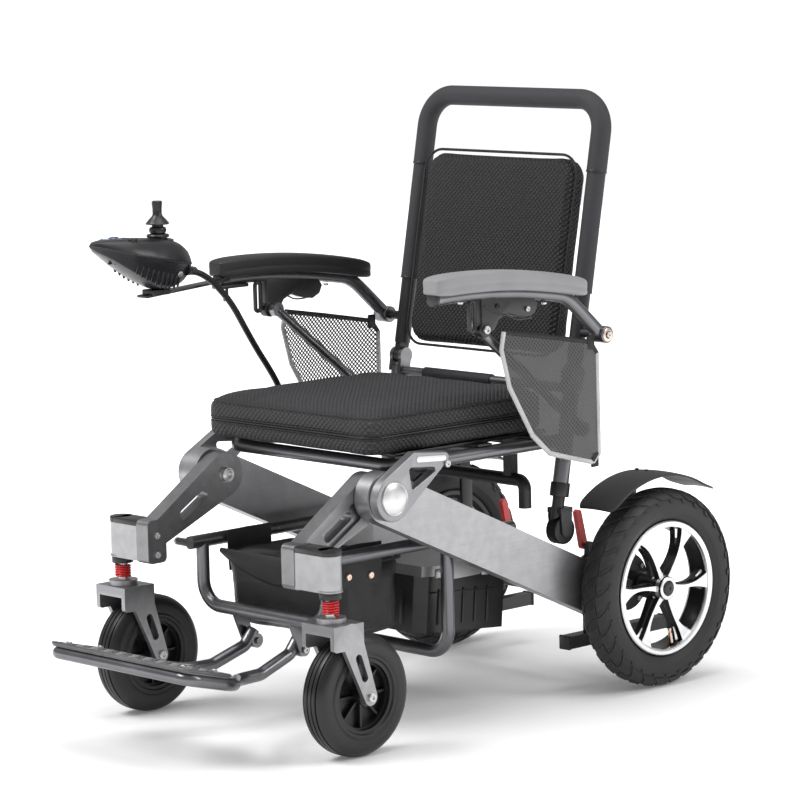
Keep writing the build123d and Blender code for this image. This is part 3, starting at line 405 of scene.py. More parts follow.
finishes["pocketNet"] = makeMeshMaterial("pocketNet", grey(0.06, 0.003), grey(0.006), 0.94)
# painted shade: the right pocket's net is a darker copy of pocketNet, its threads near black and its gaps
# mostly see-through
finishes["pocketNetOpenShaded"] = makeMeshMaterial("pocketNetOpenShaded", grey(0.012, 0.001), grey(0.02), 0.08)
cable.data.materials.clear()
cable.data.materials.append(finishes["blackPlastic"])
print("materials made")

nodeFinish = {
    "side_beams": "brushedBeam", "gear_motors": "blackPlastic", "rear_cross_frame": "blackFrame",
    "fenders": "blackPlastic",
    "front_arms": "armGrey", "lug_plates": "castGrey", "hub_pins": "brightSteel",
    "caster_housings": "castGrey",
    "seat_frame": "frameGrey", "lower_posts": "frameGrey", "post_forks": "blackFrame",
    "seat_subframe": "blackFrame",
    "back_crossbar": "frameGrey", "seat_cushion": "seatFabric", "back_frame": "blackFrame",
    "handle_grip": "foamBlack",
    "post_sleeves": "foamBlack", "back_pad": "backFabric", "cargo_frame": "frameGrey",
    "storage_bag": "bagFabric",
    "battery_box": "blackPlastic", "battery_tray": "paleMetal", "footrest_tube": "frameGrey",
    "foot_plate": "treadPlate",
    "release_lever": "leverRed", "rear_tyre": "tyreBlack", "rear_rim": "rimSilver",
    "caster_stem": "brightSteel",
    "caster_spring": "springRed", "caster_fork": "castGrey", "caster_tyre": "casterBlack",
    "caster_hub": "blackPlastic",
    "post_roller": "casterBlack", "armrest_tube": "frameGrey", "armrest_pad": "padGrey",
    "armrest_latch": "blackFrame",
    "armrest_strut": "frameGrey", "mesh_pocket": "pocketNet", "controller_case": "blackPlastic",
    "controller_bracket": "blackFrame", "joystick_ring": "blackPlastic", "joystick_stick": "blackPlastic",
    "controller_cable": "blackPlastic", "horn_button": "blackPlastic", "power_button": "blackPlastic",
    "speed_button": "blackPlastic",
}
for nodeName, node in cadNodes.items():
    finish = nodeFinish.get(nodeName) or nodeFinish[nodeName.rsplit("_", 1)[0]]
    for materialSlot in node.material_slots:
        materialSlot.material = finishes[finish]


# modelling helpers
def quiet():
    if bpy.context.object and bpy.context.object.mode != "OBJECT":
        bpy.ops.object.mode_set(mode="OBJECT")
    bpy.ops.object.select_all(action="DESELECT")


def only(piece):
    quiet()
    piece.select_set(True)
    bpy.context.view_layer.objects.active = piece


def settle(piece):
    only(piece)
    bpy.ops.object.transform_apply(location=True, rotation=True, scale=True)
    return piece


def edit(piece):
    only(piece)
    bpy.ops.object.mode_set(mode="EDIT")
    bpy.ops.mesh.select_all(action="DESELECT")


def pickFaces(test):
    mesh = bmesh.from_edit_mesh(bpy.context.object.data)
    bpy.context.tool_settings.mesh_select_mode = (False, False, True)
    for face in mesh.faces:
        face.select = bool(test(face.calc_center_median(), face.normal))
    mesh.select_flush_mode()
    bmesh.update_edit_mesh(bpy.context.object.data)


def shape(piece, move):
    # each point goes where the rule says
    for vertex in piece.data.vertices:
        vertex.co = move(vertex.co.copy())
    piece.data.update()


def modify(piece, kind, **settings):
    only(piece)
    modifier = piece.modifiers.new(kind.title(), kind)
    for name, value in settings.items():
        setattr(modifier, name, value)
    bpy.ops.object.modifier_apply(modifier=modifier.name)
    return piece


def bevel(piece, width, segments=2, angle=35):
    return modify(piece, "BEVEL", width=width, segments=segments, limit_method="ANGLE",
                  angle_limit=math.radians(angle))


def smoother(piece, levels):
    return modify(piece, "SUBSURF", levels=levels, render_levels=levels)


def facing(piece):
    edit(piece)
    bpy.ops.mesh.select_all(action="SELECT")
    bpy.ops.mesh.remove_doubles(threshold=0.00002)
    bpy.ops.mesh.normals_make_consistent(inside=False)
    bpy.ops.object.mode_set(mode="OBJECT")
    return piece


axisTurn = {"X": (0, math.pi / 2, 0), "Y": (math.pi / 2, 0, 0), "Z": (0, 0, 0)}


def cylinder(centre, radius, depth, axis="X", vertices=40):
    quiet()
    bpy.ops.mesh.primitive_cylinder_add(vertices=vertices, radius=radius * mm, depth=depth * mm,
                                        location=[value * mm for value in centre], rotation=axisTurn[axis])
    return settle(bpy.context.object)


def block(centre, size):
    quiet()
    bpy.ops.mesh.primitive_cube_add(size=1, location=[value * mm for value in centre],
                                    scale=[value * mm for value in size])
    return settle(bpy.context.object)


def joined(pieces):
    quiet()
    for piece in pieces:
        piece.select_set(True)
    bpy.context.view_layer.objects.active = pieces[0]
    if len(pieces) > 1:
        bpy.ops.object.join()
    return bpy.context.object


def copyOf(piece, matrix=None):
    copy = piece.copy()
    copy.data = piece.data.copy()
    bpy.context.scene.collection.objects.link(copy)
    if matrix is not None:
        copy.data.transform(matrix)
        if matrix.determinant() < 0:
            copy.data.flip_normals()
    return copy


def finish(piece, name, body, finishName, slotName, smoothAngle=35):
    settle(piece)
    piece.name = name
    piece.data.name = name
    if smoothAngle:
        bpy.ops.object.shade_smooth_by_angle(angle=math.radians(smoothAngle))
    else:
        bpy.ops.object.shade_smooth()
    piece.data.materials.clear()
    piece.data.materials.append(finishes[finishName])
    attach(piece, body)
    return piece


mirrorAcross = Matrix.Scale(-1, 4, (1, 0, 0))


def bothSides(piece, name, body, finishName, slotName, smoothAngle=35, stands=None):
    # the left piece, and its mirrored copy on the right; {} in a name or body is the side
    settle(piece)
    other = copyOf(piece, mirrorAcross)
    made = []
    for each, side in ((piece, "left"), (other, "right")):
        made.append(finish(each, f"{name}_{side}", body.format(side), finishName, slotName, smoothAngle))
        for node in stands or ():
            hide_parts(node.format(side))
    return made


def tubeAlong(points, radius, closed=False, resolution=6, kind="POLY"):
    curve = bpy.data.curves.new("run", "CURVE")
    curve.dimensions = "3D"
    line = curve.splines.new(kind)
    line.points.add(len(points) - 1)
    for point, place in zip(line.points, points):
        point.co = [value * mm for value in place] + [1]
    line.use_cyclic_u = closed
    if kind == "NURBS":
        line.order_u = 3
        line.use_endpoint_u = not closed
        line.resolution_u = 8
    curve.bevel_depth = radius * mm
    curve.bevel_resolution = resolution
    curve.use_fill_caps = True
    run = bpy.data.objects.new("run", curve)
    bpy.context.scene.collection.objects.link(run)
    only(run)
    bpy.ops.object.convert(target="MESH")
    return bpy.context.object


def boxUv(piece):
    # flat cloth laid over each face from the side that it looks to, in metres
    layer = piece.data.uv_layers.get("UVMap") or piece.data.uv_layers.new(name="UVMap")
    for face in piece.data.polygons:
        size = [abs(value) for value in face.normal]
        skip = size.index(max(size))
        for loop in face.loop_indices:
            place = piece.data.vertices[piece.data.loops[loop].vertex_index].co
            layer.data[loop].uv = [place[axis] for axis in range(3) if axis != skip]
    return piece


# screws: a button head with a hex socket, made once
def makeScrew():
    head = cylinder((0, 0, 2), 6, 4, "Z", 24)
    edit(head)
    pickFaces(lambda centre, normal: normal.z > 0.9)
    bpy.ops.mesh.inset(thickness=1.4 * mm)
    bpy.ops.mesh.extrude_region_move(TRANSFORM_OT_translate={"value": (0, 0, 0.9 * mm)})
    bpy.ops.mesh.inset(thickness=1.8 * mm)
    bpy.ops.mesh.extrude_region_move(TRANSFORM_OT_translate={"value": (0, 0, -2.4 * mm)})
    bpy.ops.object.mode_set(mode="OBJECT")
    return bevel(head, 0.35 * mm, 1, 50)


screw = makeScrew()
screw.hide_render = True
screw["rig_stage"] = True


def screwAt(centre, towards, radius):
    # one head at a place in mm, pointing along an axis
    turn = Vector(towards).to_track_quat("Z", "Y").to_matrix().to_4x4()
    matrix = Matrix.Translation([value * mm for value in centre]) @ turn @ Matrix.Scale(radius / 6, 4)
    copy = copyOf(screw, matrix)
    copy.hide_render = False
    if "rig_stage" in copy:
        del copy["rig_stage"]
    return copy


# shapes that several pieces start from
def subdivided(piece, cuts):
    edit(piece)
    bpy.ops.mesh.select_all(action="SELECT")
    bpy.ops.mesh.subdivide(number_cuts=cuts)
    bpy.ops.object.mode_set(mode="OBJECT")
    return piece


def roundEdges(piece, axis, offset, segments):
    # rounds only the edges that run along one axis
    edit(piece)
    mesh = bmesh.from_edit_mesh(piece.data)
    for edge in mesh.edges:
        direction = edge.verts[0].co - edge.verts[1].co
        edge.select = abs(getattr(direction, axis)) > 0.9 * direction.length
    bmesh.update_edit_mesh(piece.data)
    bpy.ops.mesh.bevel(offset=offset * mm, segments=segments, affect="EDGES")
    bpy.ops.object.mode_set(mode="OBJECT")


def at(place):
    return Matrix.Translation(Vector(place) * mm)


def turned(degrees, axis):
    return Matrix.Rotation(math.radians(degrees), 4, axis)


def bolts(places):
    return joined([screwAt(*place) for place in places])


# padded pieces
def puff(piece, voxel, pressure, cap, smooth=1):
    # remesh, let air into it as cloth, and keep each point within the cap of where it was
    modify(piece, "REMESH", mode="VOXEL", voxel_size=voxel * mm)
    start = [vertex.co.copy() for vertex in piece.data.vertices]
    only(piece)
    cloth = piece.modifiers.new("Cloth", "CLOTH")
    cloth.settings.quality = 5
    cloth.settings.mass = 0.3
    cloth.settings.tension_stiffness = 15
    cloth.settings.compression_stiffness = 15
    cloth.settings.bending_stiffness = 0.5
    cloth.settings.use_pressure = True
    cloth.settings.uniform_pressure_force = pressure
    cloth.settings.effector_weights.gravity = 0
    scene = bpy.context.scene
    for step in range(1, 21):
        scene.frame_set(step)
    swollen = piece.evaluated_get(bpy.context.evaluated_depsgraph_get())
    places = [vertex.co.copy() for vertex in swollen.data.vertices]
    piece.modifiers.remove(cloth)
    for vertex, old, new in zip(piece.data.vertices, start, places):
        move = new - old
        far = cap * mm
        vertex.co = old + (move if move.length < far else move.normalized() * far)
    scene.frame_set(1)
    smoother(piece, smooth)
    return piece


# seat cushion
cushionShape = {"half": 193, "front": -191, "rear": 187, "low": 420, "high": 474, "corner": 28,
                "voxel": 6, "pressure": 4.5, "cap": 8, "zip": 446}


def roundedRing(half, front, rear, corner, z, inset=0, steps=8):
    # points round a rectangle with round corners, seen from above
    points = []
    turn = ((half, front, -90), (half, rear, 0), (-half, rear, 90), (-half, front, 180))
    for cornerX, cornerY, start in turn:
        centreX = cornerX - math.copysign(corner, cornerX)
        centreY = cornerY - math.copysign(corner, cornerY - (front + rear) / 2)
        for step in range(steps + 1):
            angle = math.radians(start + 90 * step / steps)
            reach = corner - inset
            points.append((centreX + reach * math.cos(angle), centreY + reach * math.sin(angle), z))
    return points


def makeCushion():
    s = cushionShape
    cushion = block((0, (s["front"] + s["rear"]) / 2, (s["low"] + s["high"]) / 2),
                    (2 * s["half"], s["rear"] - s["front"], s["high"] - s["low"]))
    roundEdges(cushion, "z", s["corner"], 8)
    bevel(cushion, 10 * mm, 4, 60)
    puff(cushion, s["voxel"], s["pressure"], s["cap"])

    def crown(place):
        across = 1 - (place.x / (s["half"] * mm)) ** 2
        middle = (s["front"] + s["rear"]) / 2
        along = 1 - ((place.y / mm - middle) / (s["rear"] - middle)) ** 2
        upper = max(0.0, (place.z / mm - 452) / 24)
        place.z += min(1.0, upper) * 7 * mm * max(0.0, across) ** 0.5 * max(0.0, along) ** 0.5
        place.z = min(max(place.z, (s["low"] - 0.5) * mm), 0.4865)
        seam = math.exp(-((place.z / mm - s["zip"]) / 3.0) ** 2)
        if across < 0.2 or along < 0.2:
            outward = Vector((place.x, place.y - middle * mm, 0)).normalized()
            place -= outward * seam * 2.0 * mm
        return place

    shape(cushion, crown)
    boxUv(cushion)
    cushion = finish(cushion, "seatCushion", "seat", "seatFabric", "seat_fabric", 0)
    cushion.data.materials.append(finishes["seatSide"])
    for face in cushion.data.polygons:
        face.material_index = 0 if abs(face.normal.z) > 0.72 else 1
    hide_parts("seat_cushion")

    def sideRing(z, swell, radius, name, finishName):
        # follow the finished cushion's side all the way round
        ring = []
        for x, y, height in roundedRing(s["half"], s["front"], s["rear"], s["corner"], z, steps=6):
            centre = Vector((x * 0.6, y * 0.6, z)) * mm
            outward = (Vector((x, y, z)) * mm - centre).normalized()
            hit, spot, normal, index = cushion.ray_cast(centre + outward * 0.4, -outward)
            spot = spot if hit else Vector((x, y, z)) * mm
            ring.append([value / mm for value in spot + outward * swell * mm])
        seam = tubeAlong(ring, radius, closed=True, resolution=3)
        return finish(seam, name, "seat", finishName, "seat_fabric", 0)

    sideRing(473, -0.3, 2.0, "cushionPiping", "bandBlack")
    sideRing(449.5, 0.2, 1.1, "cushionZipUpper", "bandBlack")
    sideRing(442.5, 0.2, 1.1, "cushionZipLower", "bandBlack")
    sideRing(446, 0.3, 1.3, "cushionZipTeeth", "blackPlastic")


makeCushion()
print("seat cushion done")


# padded back
backShape = {"lean": 10.8, "hingeY": 237, "hingeZ": 500, "half": 165, "low": 21, "high": 331,
             "front": -20, "rear": 11,
             "corner": 34, "voxel": 5, "pressure": 4.0, "cap": 6}


def leaned(points):
    # from the backrest's own upright frame to its place, in mm
    angle = math.radians(backShape["lean"])
    return [(x, backShape["hingeY"] + y * math.cos(angle) + z * math.sin(angle),
             backShape["hingeZ"] + z * math.cos(angle) - y * math.sin(angle)) for x, y, z in points]


def leanMatrix():
    place = Matrix.Translation((0, backShape["hingeY"] * mm, backShape["hingeZ"] * mm))
    return place @ Matrix.Rotation(-math.radians(backShape["lean"]), 4, "X")


def makeBack():
    s = backShape
    pad = block((0, (s["front"] + s["rear"]) / 2, (s["low"] + s["high"]) / 2),
                (2 * s["half"], s["rear"] - s["front"], s["high"] - s["low"]))
    roundEdges(pad, "y", s["corner"], 8)
    bevel(pad, 6 * mm, 3, 60)
    puff(pad, s["voxel"], s["pressure"], s["cap"])

    def hollow(place):
        across = place.x / (s["half"] * mm)
        along = (place.z / mm - (s["low"] + s["high"]) / 2) / ((s["high"] - s["low"]) / 2)
        front = 1 if place.y < -6 * mm else 0
        border = max(abs(across), abs(along))
        groove = math.exp(-((border - 0.93) / 0.014) ** 2)
        place.y += front * groove * 1.6 * mm
        place.y = max(place.y, -23.5 * mm)
        return place

    shape(pad, hollow)
    boxUv(pad)
    pad.data.transform(leanMatrix())
    pad = finish(pad, "backPad", "backrest", "backFabric", "seat_fabric", 0)
    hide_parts("back_pad")
    ring = []
    for x, z, depth in roundedRing(s["half"] + 0.6, s["low"] - 0.6, s["high"] + 0.6, s["corner"], 0):
        ring.append((x, s["front"] + 3, z))
    piping = tubeAlong(leaned(ring), 2.2, closed=True, resolution=3)
    finish(piping, "backPiping", "backrest", "bandBlack", "seat_fabric", 0)


makeBack()
print("padded back done")


# armrest pads
padShape = {"x": 237, "half": 25, "front": -112, "rear": 207, "crownY": -45, "crownZ": 681,
            "fall": 0.00045, "thick": 30}


def padTop(y):
    return padShape["crownZ"] - padShape["fall"] * (y - padShape["crownY"]) ** 2


def makeArmPads():
    s = padShape
    pad = subdivided(block((0, 0, 0), (2, 2, 2)), 15)
    middle, reach = (s["front"] + s["rear"]) / 2, (s["rear"] - s["front"]) / 2

    def mould(place):
        u, v, w = (value / mm for value in place)
        size = max(abs(u), abs(v), abs(w)) or 1
        flat = (abs(u) ** 8 + abs(v) ** 14 + abs(w) ** 8) ** (1 / 8)
        u, v, w = (value * size / flat for value in (u, v, w))
        taper = 1 - 0.12 * max(0.0, -v) ** 3 - 0.1 * max(0.0, v) ** 3
        y = middle + v * reach * 0.992
        x = s["x"] + u * s["half"] * taper
        crown = 1.2 * (1 - u * u) if w > 0 else 0
        z = padTop(y) - s["thick"] / 2 + w * s["thick"] / 2 * (0.93 if w > 0 else 1) + crown - 0.2
        ease = 3.5 * math.exp(-(((w + 0.15) / 0.16) ** 2)) * 0.25
        return Vector((x - math.copysign(ease, u) * (abs(u) > 0.7), y, z)) * mm

    shape(pad, mould)
    smoother(pad, 1)
    settle(pad)
    other = copyOf(pad, mirrorAcross)
    # the right pad gets the darkened copy of the grey pad finish: painted shade on the far side
    for each, side, finishName in ((pad, "left", "padGrey"), (other, "right", "padBlack")):
        each = finish(each, f"armPad_{side}", f"armrest_{side}", finishName, "pad_grey", 0)
        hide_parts(f"armrest_pad_{side}")


makeArmPads()


# mesh side pockets
pocketShape = {
    "x": 241, "thick": 6, "belly": 7,
    "outline": [(36, 586), (120, 572), (222, 554), (236, 535), (238, 381), (225, 368), (130, 393),
                (93, 425), (46, 502), (30, 560)],
}


def makePockets():
    s = pocketShape
    outline = [Vector((0, y, z)) * mm for y, z in s["outline"]]
    centre = sum(outline, Vector()) / len(outline)
    quiet()
    bpy.ops.mesh.primitive_grid_add(x_subdivisions=44, y_subdivisions=44, size=0.26, location=centre,
                                    rotation=(0, math.pi / 2, 0))
    net = settle(bpy.context.object)
    edit(net)
    for first, second in zip(outline, outline[1:] + outline[:1]):
        bpy.ops.mesh.select_all(action="SELECT")
        along = (second - first).normalized()
        outward = Vector((0, along.z, -along.y))
        if outward.dot(centre - first) > 0:
            outward = -outward
        bpy.ops.mesh.bisect(plane_co=first, plane_no=outward, clear_outer=True)
    bpy.ops.object.mode_set(mode="OBJECT")

    def depth(y, z):
        # how far the net bellies out, least at its edge
        nearest = 1.0
        spot = Vector((0, y, z))
        for first, second in zip(outline, outline[1:] + outline[:1]):
            along = (second - first).normalized()
            inward = abs((spot - first).cross(along).length)
            nearest = min(nearest, inward)
        return min(1.0, nearest / 0.05)

    layer = net.data.uv_layers.get("UVMap") or net.data.uv_layers.new(name="UVMap")
    for loop in net.data.loops:
        place = net.data.vertices[loop.vertex_index].co
        layer.data[loop.index].uv = (place.y, place.z)

    def belly(place):
        deep = depth(place.y, place.z)
        fold = 0.8 * math.sin(place.y * 110 + place.z * 40)
        place.x = (s["x"] + s["belly"] * math.sin(deep * math.pi / 2) * 0.8 + fold * deep) * mm
        return place

    shape(net, belly)
    nets = bothSides(net, "pocketNet", "armrest_{}", "pocketNet", "mesh_fabric", 0, ["mesh_pocket_{}"])
    # the right pocket takes the darker net: painted shade on the far side
    nets[1].data.materials[0] = finishes["pocketNetOpenShaded"]
    rim = [(s["x"], y, z) for y, z in s["outline"]]
    sewn = tubeAlong(rim[3:] + rim[:1], 4.2, resolution=3)
    shape(sewn, lambda place: Vector((s["x"] * mm + (place.x - s["x"] * mm) * 0.6, place.y, place.z)))
    bothSides(sewn, "pocketBinding", "armrest_{}", "bindingPale", "mesh_fabric", 0)
    band = tubeAlong([(s["x"], y, z - 1) for y, z in s["outline"][:4]], 4.0, resolution=3)
    shape(band, lambda place: Vector((s["x"] * mm + (place.x - s["x"] * mm) * 0.5, place.y, place.z)))
    bothSides(band, "pocketBand", "armrest_{}", "bandBlack", "mesh_fabric", 0)


makePockets()
print("armrest pads and pockets done")


# rear wheels
wheelPlace = (237, 369, 155)
rimShape = {"radius": 105.6, "lip": 9.5, "spokes": 6, "face": 21}
tyreShape = {"halfWidth": 27.0, "middle": 128, "reach": 25.4, "lugs": 30, "lugHeight": 1.6}


def lathe(profile, steps=96):
    # a closed outline of (x, radius) in mm, spun round the X axis
    quiet()
    bpy.ops.mesh.primitive_circle_add(vertices=len(profile), radius=0.01)
    ring = bpy.context.object
    for vertex, (x, radius) in zip(ring.data.vertices, profile):
        vertex.co = Vector((x, 0, radius)) * mm
    edit(ring)
    bpy.ops.mesh.select_all(action="SELECT")
    bpy.ops.mesh.spin(steps=steps, angle=math.tau, center=(0, 0, 0), axis=(1, 0, 0))
    bpy.ops.object.mode_set(mode="OBJECT")
    return facing(ring)


def ontoWheel(piece, place=wheelPlace):
    piece.data.transform(at(place))
    return piece


def spokeAt(place):
    # u runs from hub to rim, v across, w front to back, each from -1 to 1
    u, v, w = (value / mm for value in place)
    t = (u + 1) / 2
    radius = 14 + 84 * t
    waist = max(0, math.sin(math.pi * min(1, t * 1.15))) ** 1.2
    half = 8.2 - 4.2 * waist + 11 * max(0, t - 0.62) ** 2 / 0.145
    half *= 1.0 if w < 0 else 0.62 + 0.1 * t
    curve = 4.5 * math.sin(math.pi * t)
    front = 19.5 - 4 * math.sin(math.pi * t) + (rimShape["face"] - 19.5) * t
    back = -6 + 4 * t
    x = front if w > 0 else back
    if abs(w) < 0.9:
        x = front - (front - back) * (1 - w) / 2
    y = v * half + curve
    return Vector((x, y, math.sqrt(max(1, radius ** 2 - y ** 2)))) * mm


def makeRim():
    s = rimShape
    outer = s["radius"]
    lip = lathe([(15, outer - 1), (21.5, outer), (23.2, outer - 1.5), (23.6, outer - 4),
                 (22, outer - s["lip"]),
                 (19, outer - s["lip"] - 1.2), (15, outer - s["lip"])])
    barrel = lathe([(-20, outer), (-21, outer - 2), (-20, outer - 8), (-12, outer - 14),
                    (6, outer - 12.5), (17, outer - 9.6),
                    (18, outer - 6), (15, outer - 1.2), (4, outer - 6), (-12, outer - 6)])
    spokes = []
    spoke = subdivided(block((0, 0, 0), (2, 2, 2)), 9)
    shape(spoke, spokeAt)
    facing(spoke)
    bevel(spoke, 0.8 * mm, 2, 45)
    for index in range(s["spokes"]):
        spokes.append(copyOf(spoke, Matrix.Rotation(math.tau * (index + 0.5) / s["spokes"], 4, "X")))
    quiet()
    bpy.data.objects.remove(spoke)
    boss = lathe([(-26, 12), (-26, 20), (-4, 21), (14, 20), (20, 18.6), (24, 18), (25, 16.5),
                  (24.6, 12.5), (20, 9)], 48)
    cap = lathe([(20, 0.4), (20, 12.6), (24, 12.4), (26.4, 10.6), (27.4, 6), (27.2, 3.2), (26, 2.6),
                 (26, 0.4)], 36)
    rim = ontoWheel(joined([lip, *spokes, boss]))
    dark = ontoWheel(joined([barrel, cap]))
    made = bothSides(rim, "rimFace", "rear_wheel_{}", "rimSilver", "rim_silver", 30, ["rear_rim_{}"])
    for each, side in zip(made, (1, -1)):
        each.data.materials.append(finishes["rimBlack"])
        for face in each.data.polygons:
            radius = math.hypot(face.center.y - wheelPlace[1] * mm, face.center.z - wheelPlace[2] * mm) / mm
            facingOut = face.normal.x * side
            bright = radius > outer - s["lip"] - 1 or facingOut > 0.75 or (radius < 20 and facingOut > 0.2)
            face.material_index = 0 if bright else 1
    bothSides(dark, "rimBarrel", "rear_wheel_{}", "rimBlack", "black_plastic", 30)
    valve = joined([cylinder((12, 0, -84), 3.2, 16, "Z", 16), cylinder((12, 0, -75), 2.2, 10, "Z", 16),
                    cylinder((12, 0, -70), 3.0, 4, "Z", 16)])
    valve.data.transform(turned(12, "X"))
    bothSides(ontoWheel(valve), "tyreValve", "rear_wheel_{}", "copper", "bright_steel", 30)


def tyreSpot(spread, lift):
    # a point of the tyre's outside: spread is the angle from the crown in degrees
    angle = math.radians(abs(spread))
    x = math.copysign(tyreShape["halfWidth"] * math.sin(angle) ** 0.8, spread)
    radius = tyreShape["middle"] + tyreShape["reach"] * max(0, math.cos(angle)) ** 0.8
    return x + math.copysign(lift * math.sin(angle), spread), radius + lift * math.cos(angle)


def lugPiece(near, far, span, slant, height, cut=0.0):
    lug = subdivided(block((0, 0, 0), (2, 2, 2)), 3)

    def mould(place):
        u, v, w = (value / mm for value in place)
        rounding = math.sqrt(max(0, 1 - (0.45 * u) ** 2))
        spread = near + (far - near) * (v + 1) / 2
        lift = height if w > 0 else -1.5
        if abs(w) < 0.9:
            lift = -1.5 + (height + 1.5) * (w + 1) / 2
        shrink = 1 - 0.12 * (w + 1) / 2
        x, radius = tyreSpot(spread, lift)
        swing = u * span * shrink * (rounding if v * (far - near) > 0 else 1)
        turn = math.radians(swing + slant * (v + cut * v * v))
        return Vector((x, radius * math.sin(turn), radius * math.cos(turn))) * mm

    shape(lug, mould)
    return facing(lug)


def makeTyre():
    s = tyreShape
    half = [(16, 105.6), (19.5, 107), (21.5, 110), (23.6, 113.5), (24.6, 116.5), (25.8, 118), (26.4, 121)]
    half += [tyreSpot(spread, 0) for spread in range(84, 0, -7)]
    profile = half + [(-x, radius) for x, radius in reversed(half)] + [(-12, 104), (12, 104)]
    body = lathe(profile, 120)
    lugs = []
    for side in (-1, 1):
        shoulder = lugPiece(24 * side, 66 * side, 4.6, 3.2 * side, s["lugHeight"], 0.4)
        flank = lugPiece(70 * side, 80 * side, 2.0, 0.6, s["lugHeight"] * 0.7)
        for index in range(s["lugs"]):
            turn = math.tau * (index + (0.5 if side > 0 else 0)) / s["lugs"]
            lugs.append(copyOf(shoulder, Matrix.Rotation(turn, 4, "X")))
            lugs.append(copyOf(flank, Matrix.Rotation(turn + 0.05, 4, "X")))
        bpy.data.objects.remove(shoulder)
        bpy.data.objects.remove(flank)
    centre = lugPiece(-20, 20, 3.6, 3.4, s["lugHeight"], 0)
    for index in range(s["lugs"]):
        lugs.append(copyOf(centre, Matrix.Rotation(math.tau * (index + 0.25) / s["lugs"], 4, "X")))
    bpy.data.objects.remove(centre)
    tyre = ontoWheel(joined([body, *lugs]))
    bothSides(tyre, "rearTyre", "rear_wheel_{}", "tyreBlack", "tyre_black", 40, ["rear_tyre_{}"])


makeRim()
makeTyre()
print("rear wheels done")


# fenders
fenderShape = {"y": 363, "z": 150, "radius": 186, "inner": 184, "outer": 262, "front": 130, "rear": 50,
               "sheet": 3}


def makeFender():
    s = fenderShape
    quiet()
    bpy.ops.mesh.primitive_grid_add(x_subdivisions=16, y_subdivisions=48, size=2)
    sheet = bpy.context.object
    middle, half = (s["inner"] + s["outer"]) / 2, (s["outer"] - s["inner"]) / 2

    def bend(place):
        u, v = place.x, place.y
        angle = math.radians(s["front"] + (s["rear"] - s["front"]) * (v + 1) / 2)
        radius = s["radius"] - 1.5
        tip = max(0.0, (v - 0.72) / 0.28)
        nose = max(0.0, (-v - 0.82) / 0.18)
        lift = 9 * tip ** 1.6
        narrow = 1 - 0.24 * tip ** 3 - 0.2 * nose ** 3
        crown = -2.2 * u ** 2
        x = middle + u * half * narrow
        y = s["y"] + (radius + crown + lift) * math.cos(angle)
        z = s["z"] + (radius + crown + lift) * math.sin(angle)
        return Vector((x, y, z)) * mm

    shape(sheet, bend)
    modify(sheet, "SOLIDIFY", thickness=s["sheet"] * mm, offset=0)
    facing(sheet)
    bevel(sheet, 0.9 * mm, 2, 50)
    stay = block((s["inner"] - 3, 369, 240), (6, 24, 88))
    edit(stay)
    pickFaces(lambda centre, normal: normal.z > 0.9)
    bpy.ops.mesh.extrude_region_move(TRANSFORM_OT_translate={"value": (6 * mm, 0, 42 * mm)})
    bpy.ops.mesh.extrude_region_move(TRANSFORM_OT_translate={"value": (8 * mm, 0, 5 * mm)})
    bpy.ops.object.mode_set(mode="OBJECT")
    bevel(stay, 1.2 * mm, 2, 40)
    sheets = bothSides(sheet, "fenderSheet", "chassis", "fenderBlack", "black_plastic", 50)
    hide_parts("fenders")
    bothSides(stay, "fenderStay", "chassis", "blackFrame", "black_frame", 40)
    top = s["z"] + s["radius"] - 1
    screws = [((s["inner"] + reach, wheelPlace[1], top), (0, 0, 1), 3.2) for reach in (14, 34)]
    bothSides(bolts(screws), "fenderScrews", "chassis", "blackFrame", "black_frame", 30)


finishes["fenderBlack"] = makeMaterial("fenderBlack", grey(0.01, 0.001), grey(0.014, 0.002), 0.0,
                                       (0.46, 0.54), 1800, 0.15)
makeFender()
print("fenders done")


# suspension springs
springShape = {"x": 232, "y": -315.5, "low": 211.5, "high": 235, "radius": 10.8, "wire": 1.75, "turns": 5.2}


def closedEnds(part, end=0.08):
    # the end turns of the coil lie nearly flat
    if part <= end:
        return end * (part / end) ** 2
    if part >= 1 - end:
        return 1 - end * ((1 - part) / end) ** 2
    return part


def makeSprings():
    s = springShape
    points = []
    count = int(s["turns"] * 20)
    for step in range(count + 1):
        part = step / count
        angle = math.tau * s["turns"] * part
        rise = closedEnds(part)
        points.append((s["x"] + s["radius"] * math.cos(angle), s["y"] + s["radius"] * math.sin(angle),
                       s["low"] + 1.8 + (s["high"] - s["low"] - 3.6) * rise))
    coil = tubeAlong(points, s["wire"], resolution=4)
    for each, side in zip(bothSides(coil, "caster_coil", "caster_swivel_{}", "springRed", "spring_red", 0,
                                    ["caster_spring_{}"]), ("left", "right")):
        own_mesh(each)
    collar = cylinder((s["x"], s["y"], 240.6), 16.4, 10, "Z", 48)
    bevel(collar, 1.2 * mm, 3, 50)
    bothSides(collar, "springCollar", "caster_swivel_{}", "blackPlastic", "black_plastic", 35)


makeSprings()
print("springs done")


# hubs, housings and bolts of the front frame
hubCap = [(222, 0.4), (222, 25), (223.5, 25.2), (225, 24.4), (225.6, 22.8), (225, 22), (225.6, 21),
          (227.2, 12), (227.8, 0.4)]
frontShape = {"hub": (0, -176, 361), "stem": (232, -315.5), "capZ": 303, "capTall": 9, "lipZ": 247.5,
              "reflector": (221.5, -100, 411), "reflectorSize": (2.6, 60, 8.6), "reflectorTilt": -4}
frontBolts = {
    "front_frame": [((149, -316, 285), (-1, 0, 0), 5), ((149, -316, 256), (-1, 0, 0), 5),
                    ((149, -176, 361), (-1, 0, 0), 11)],
    "caster_fork_{}": [((266, -272, 90), (1, 0, 0), 6.5), ((198, -272, 90), (-1, 0, 0), 6.5)],
    "cargo": [((65.5, -216, 124), (1, 0, 0), 5), ((163, -262, 268), (1, 0, 0), 6)],
    "seat": [((204, 237, 500), (1, 0, 0), 5), ((222.5, -69, 400), (1, 0, 0), 5)],
}


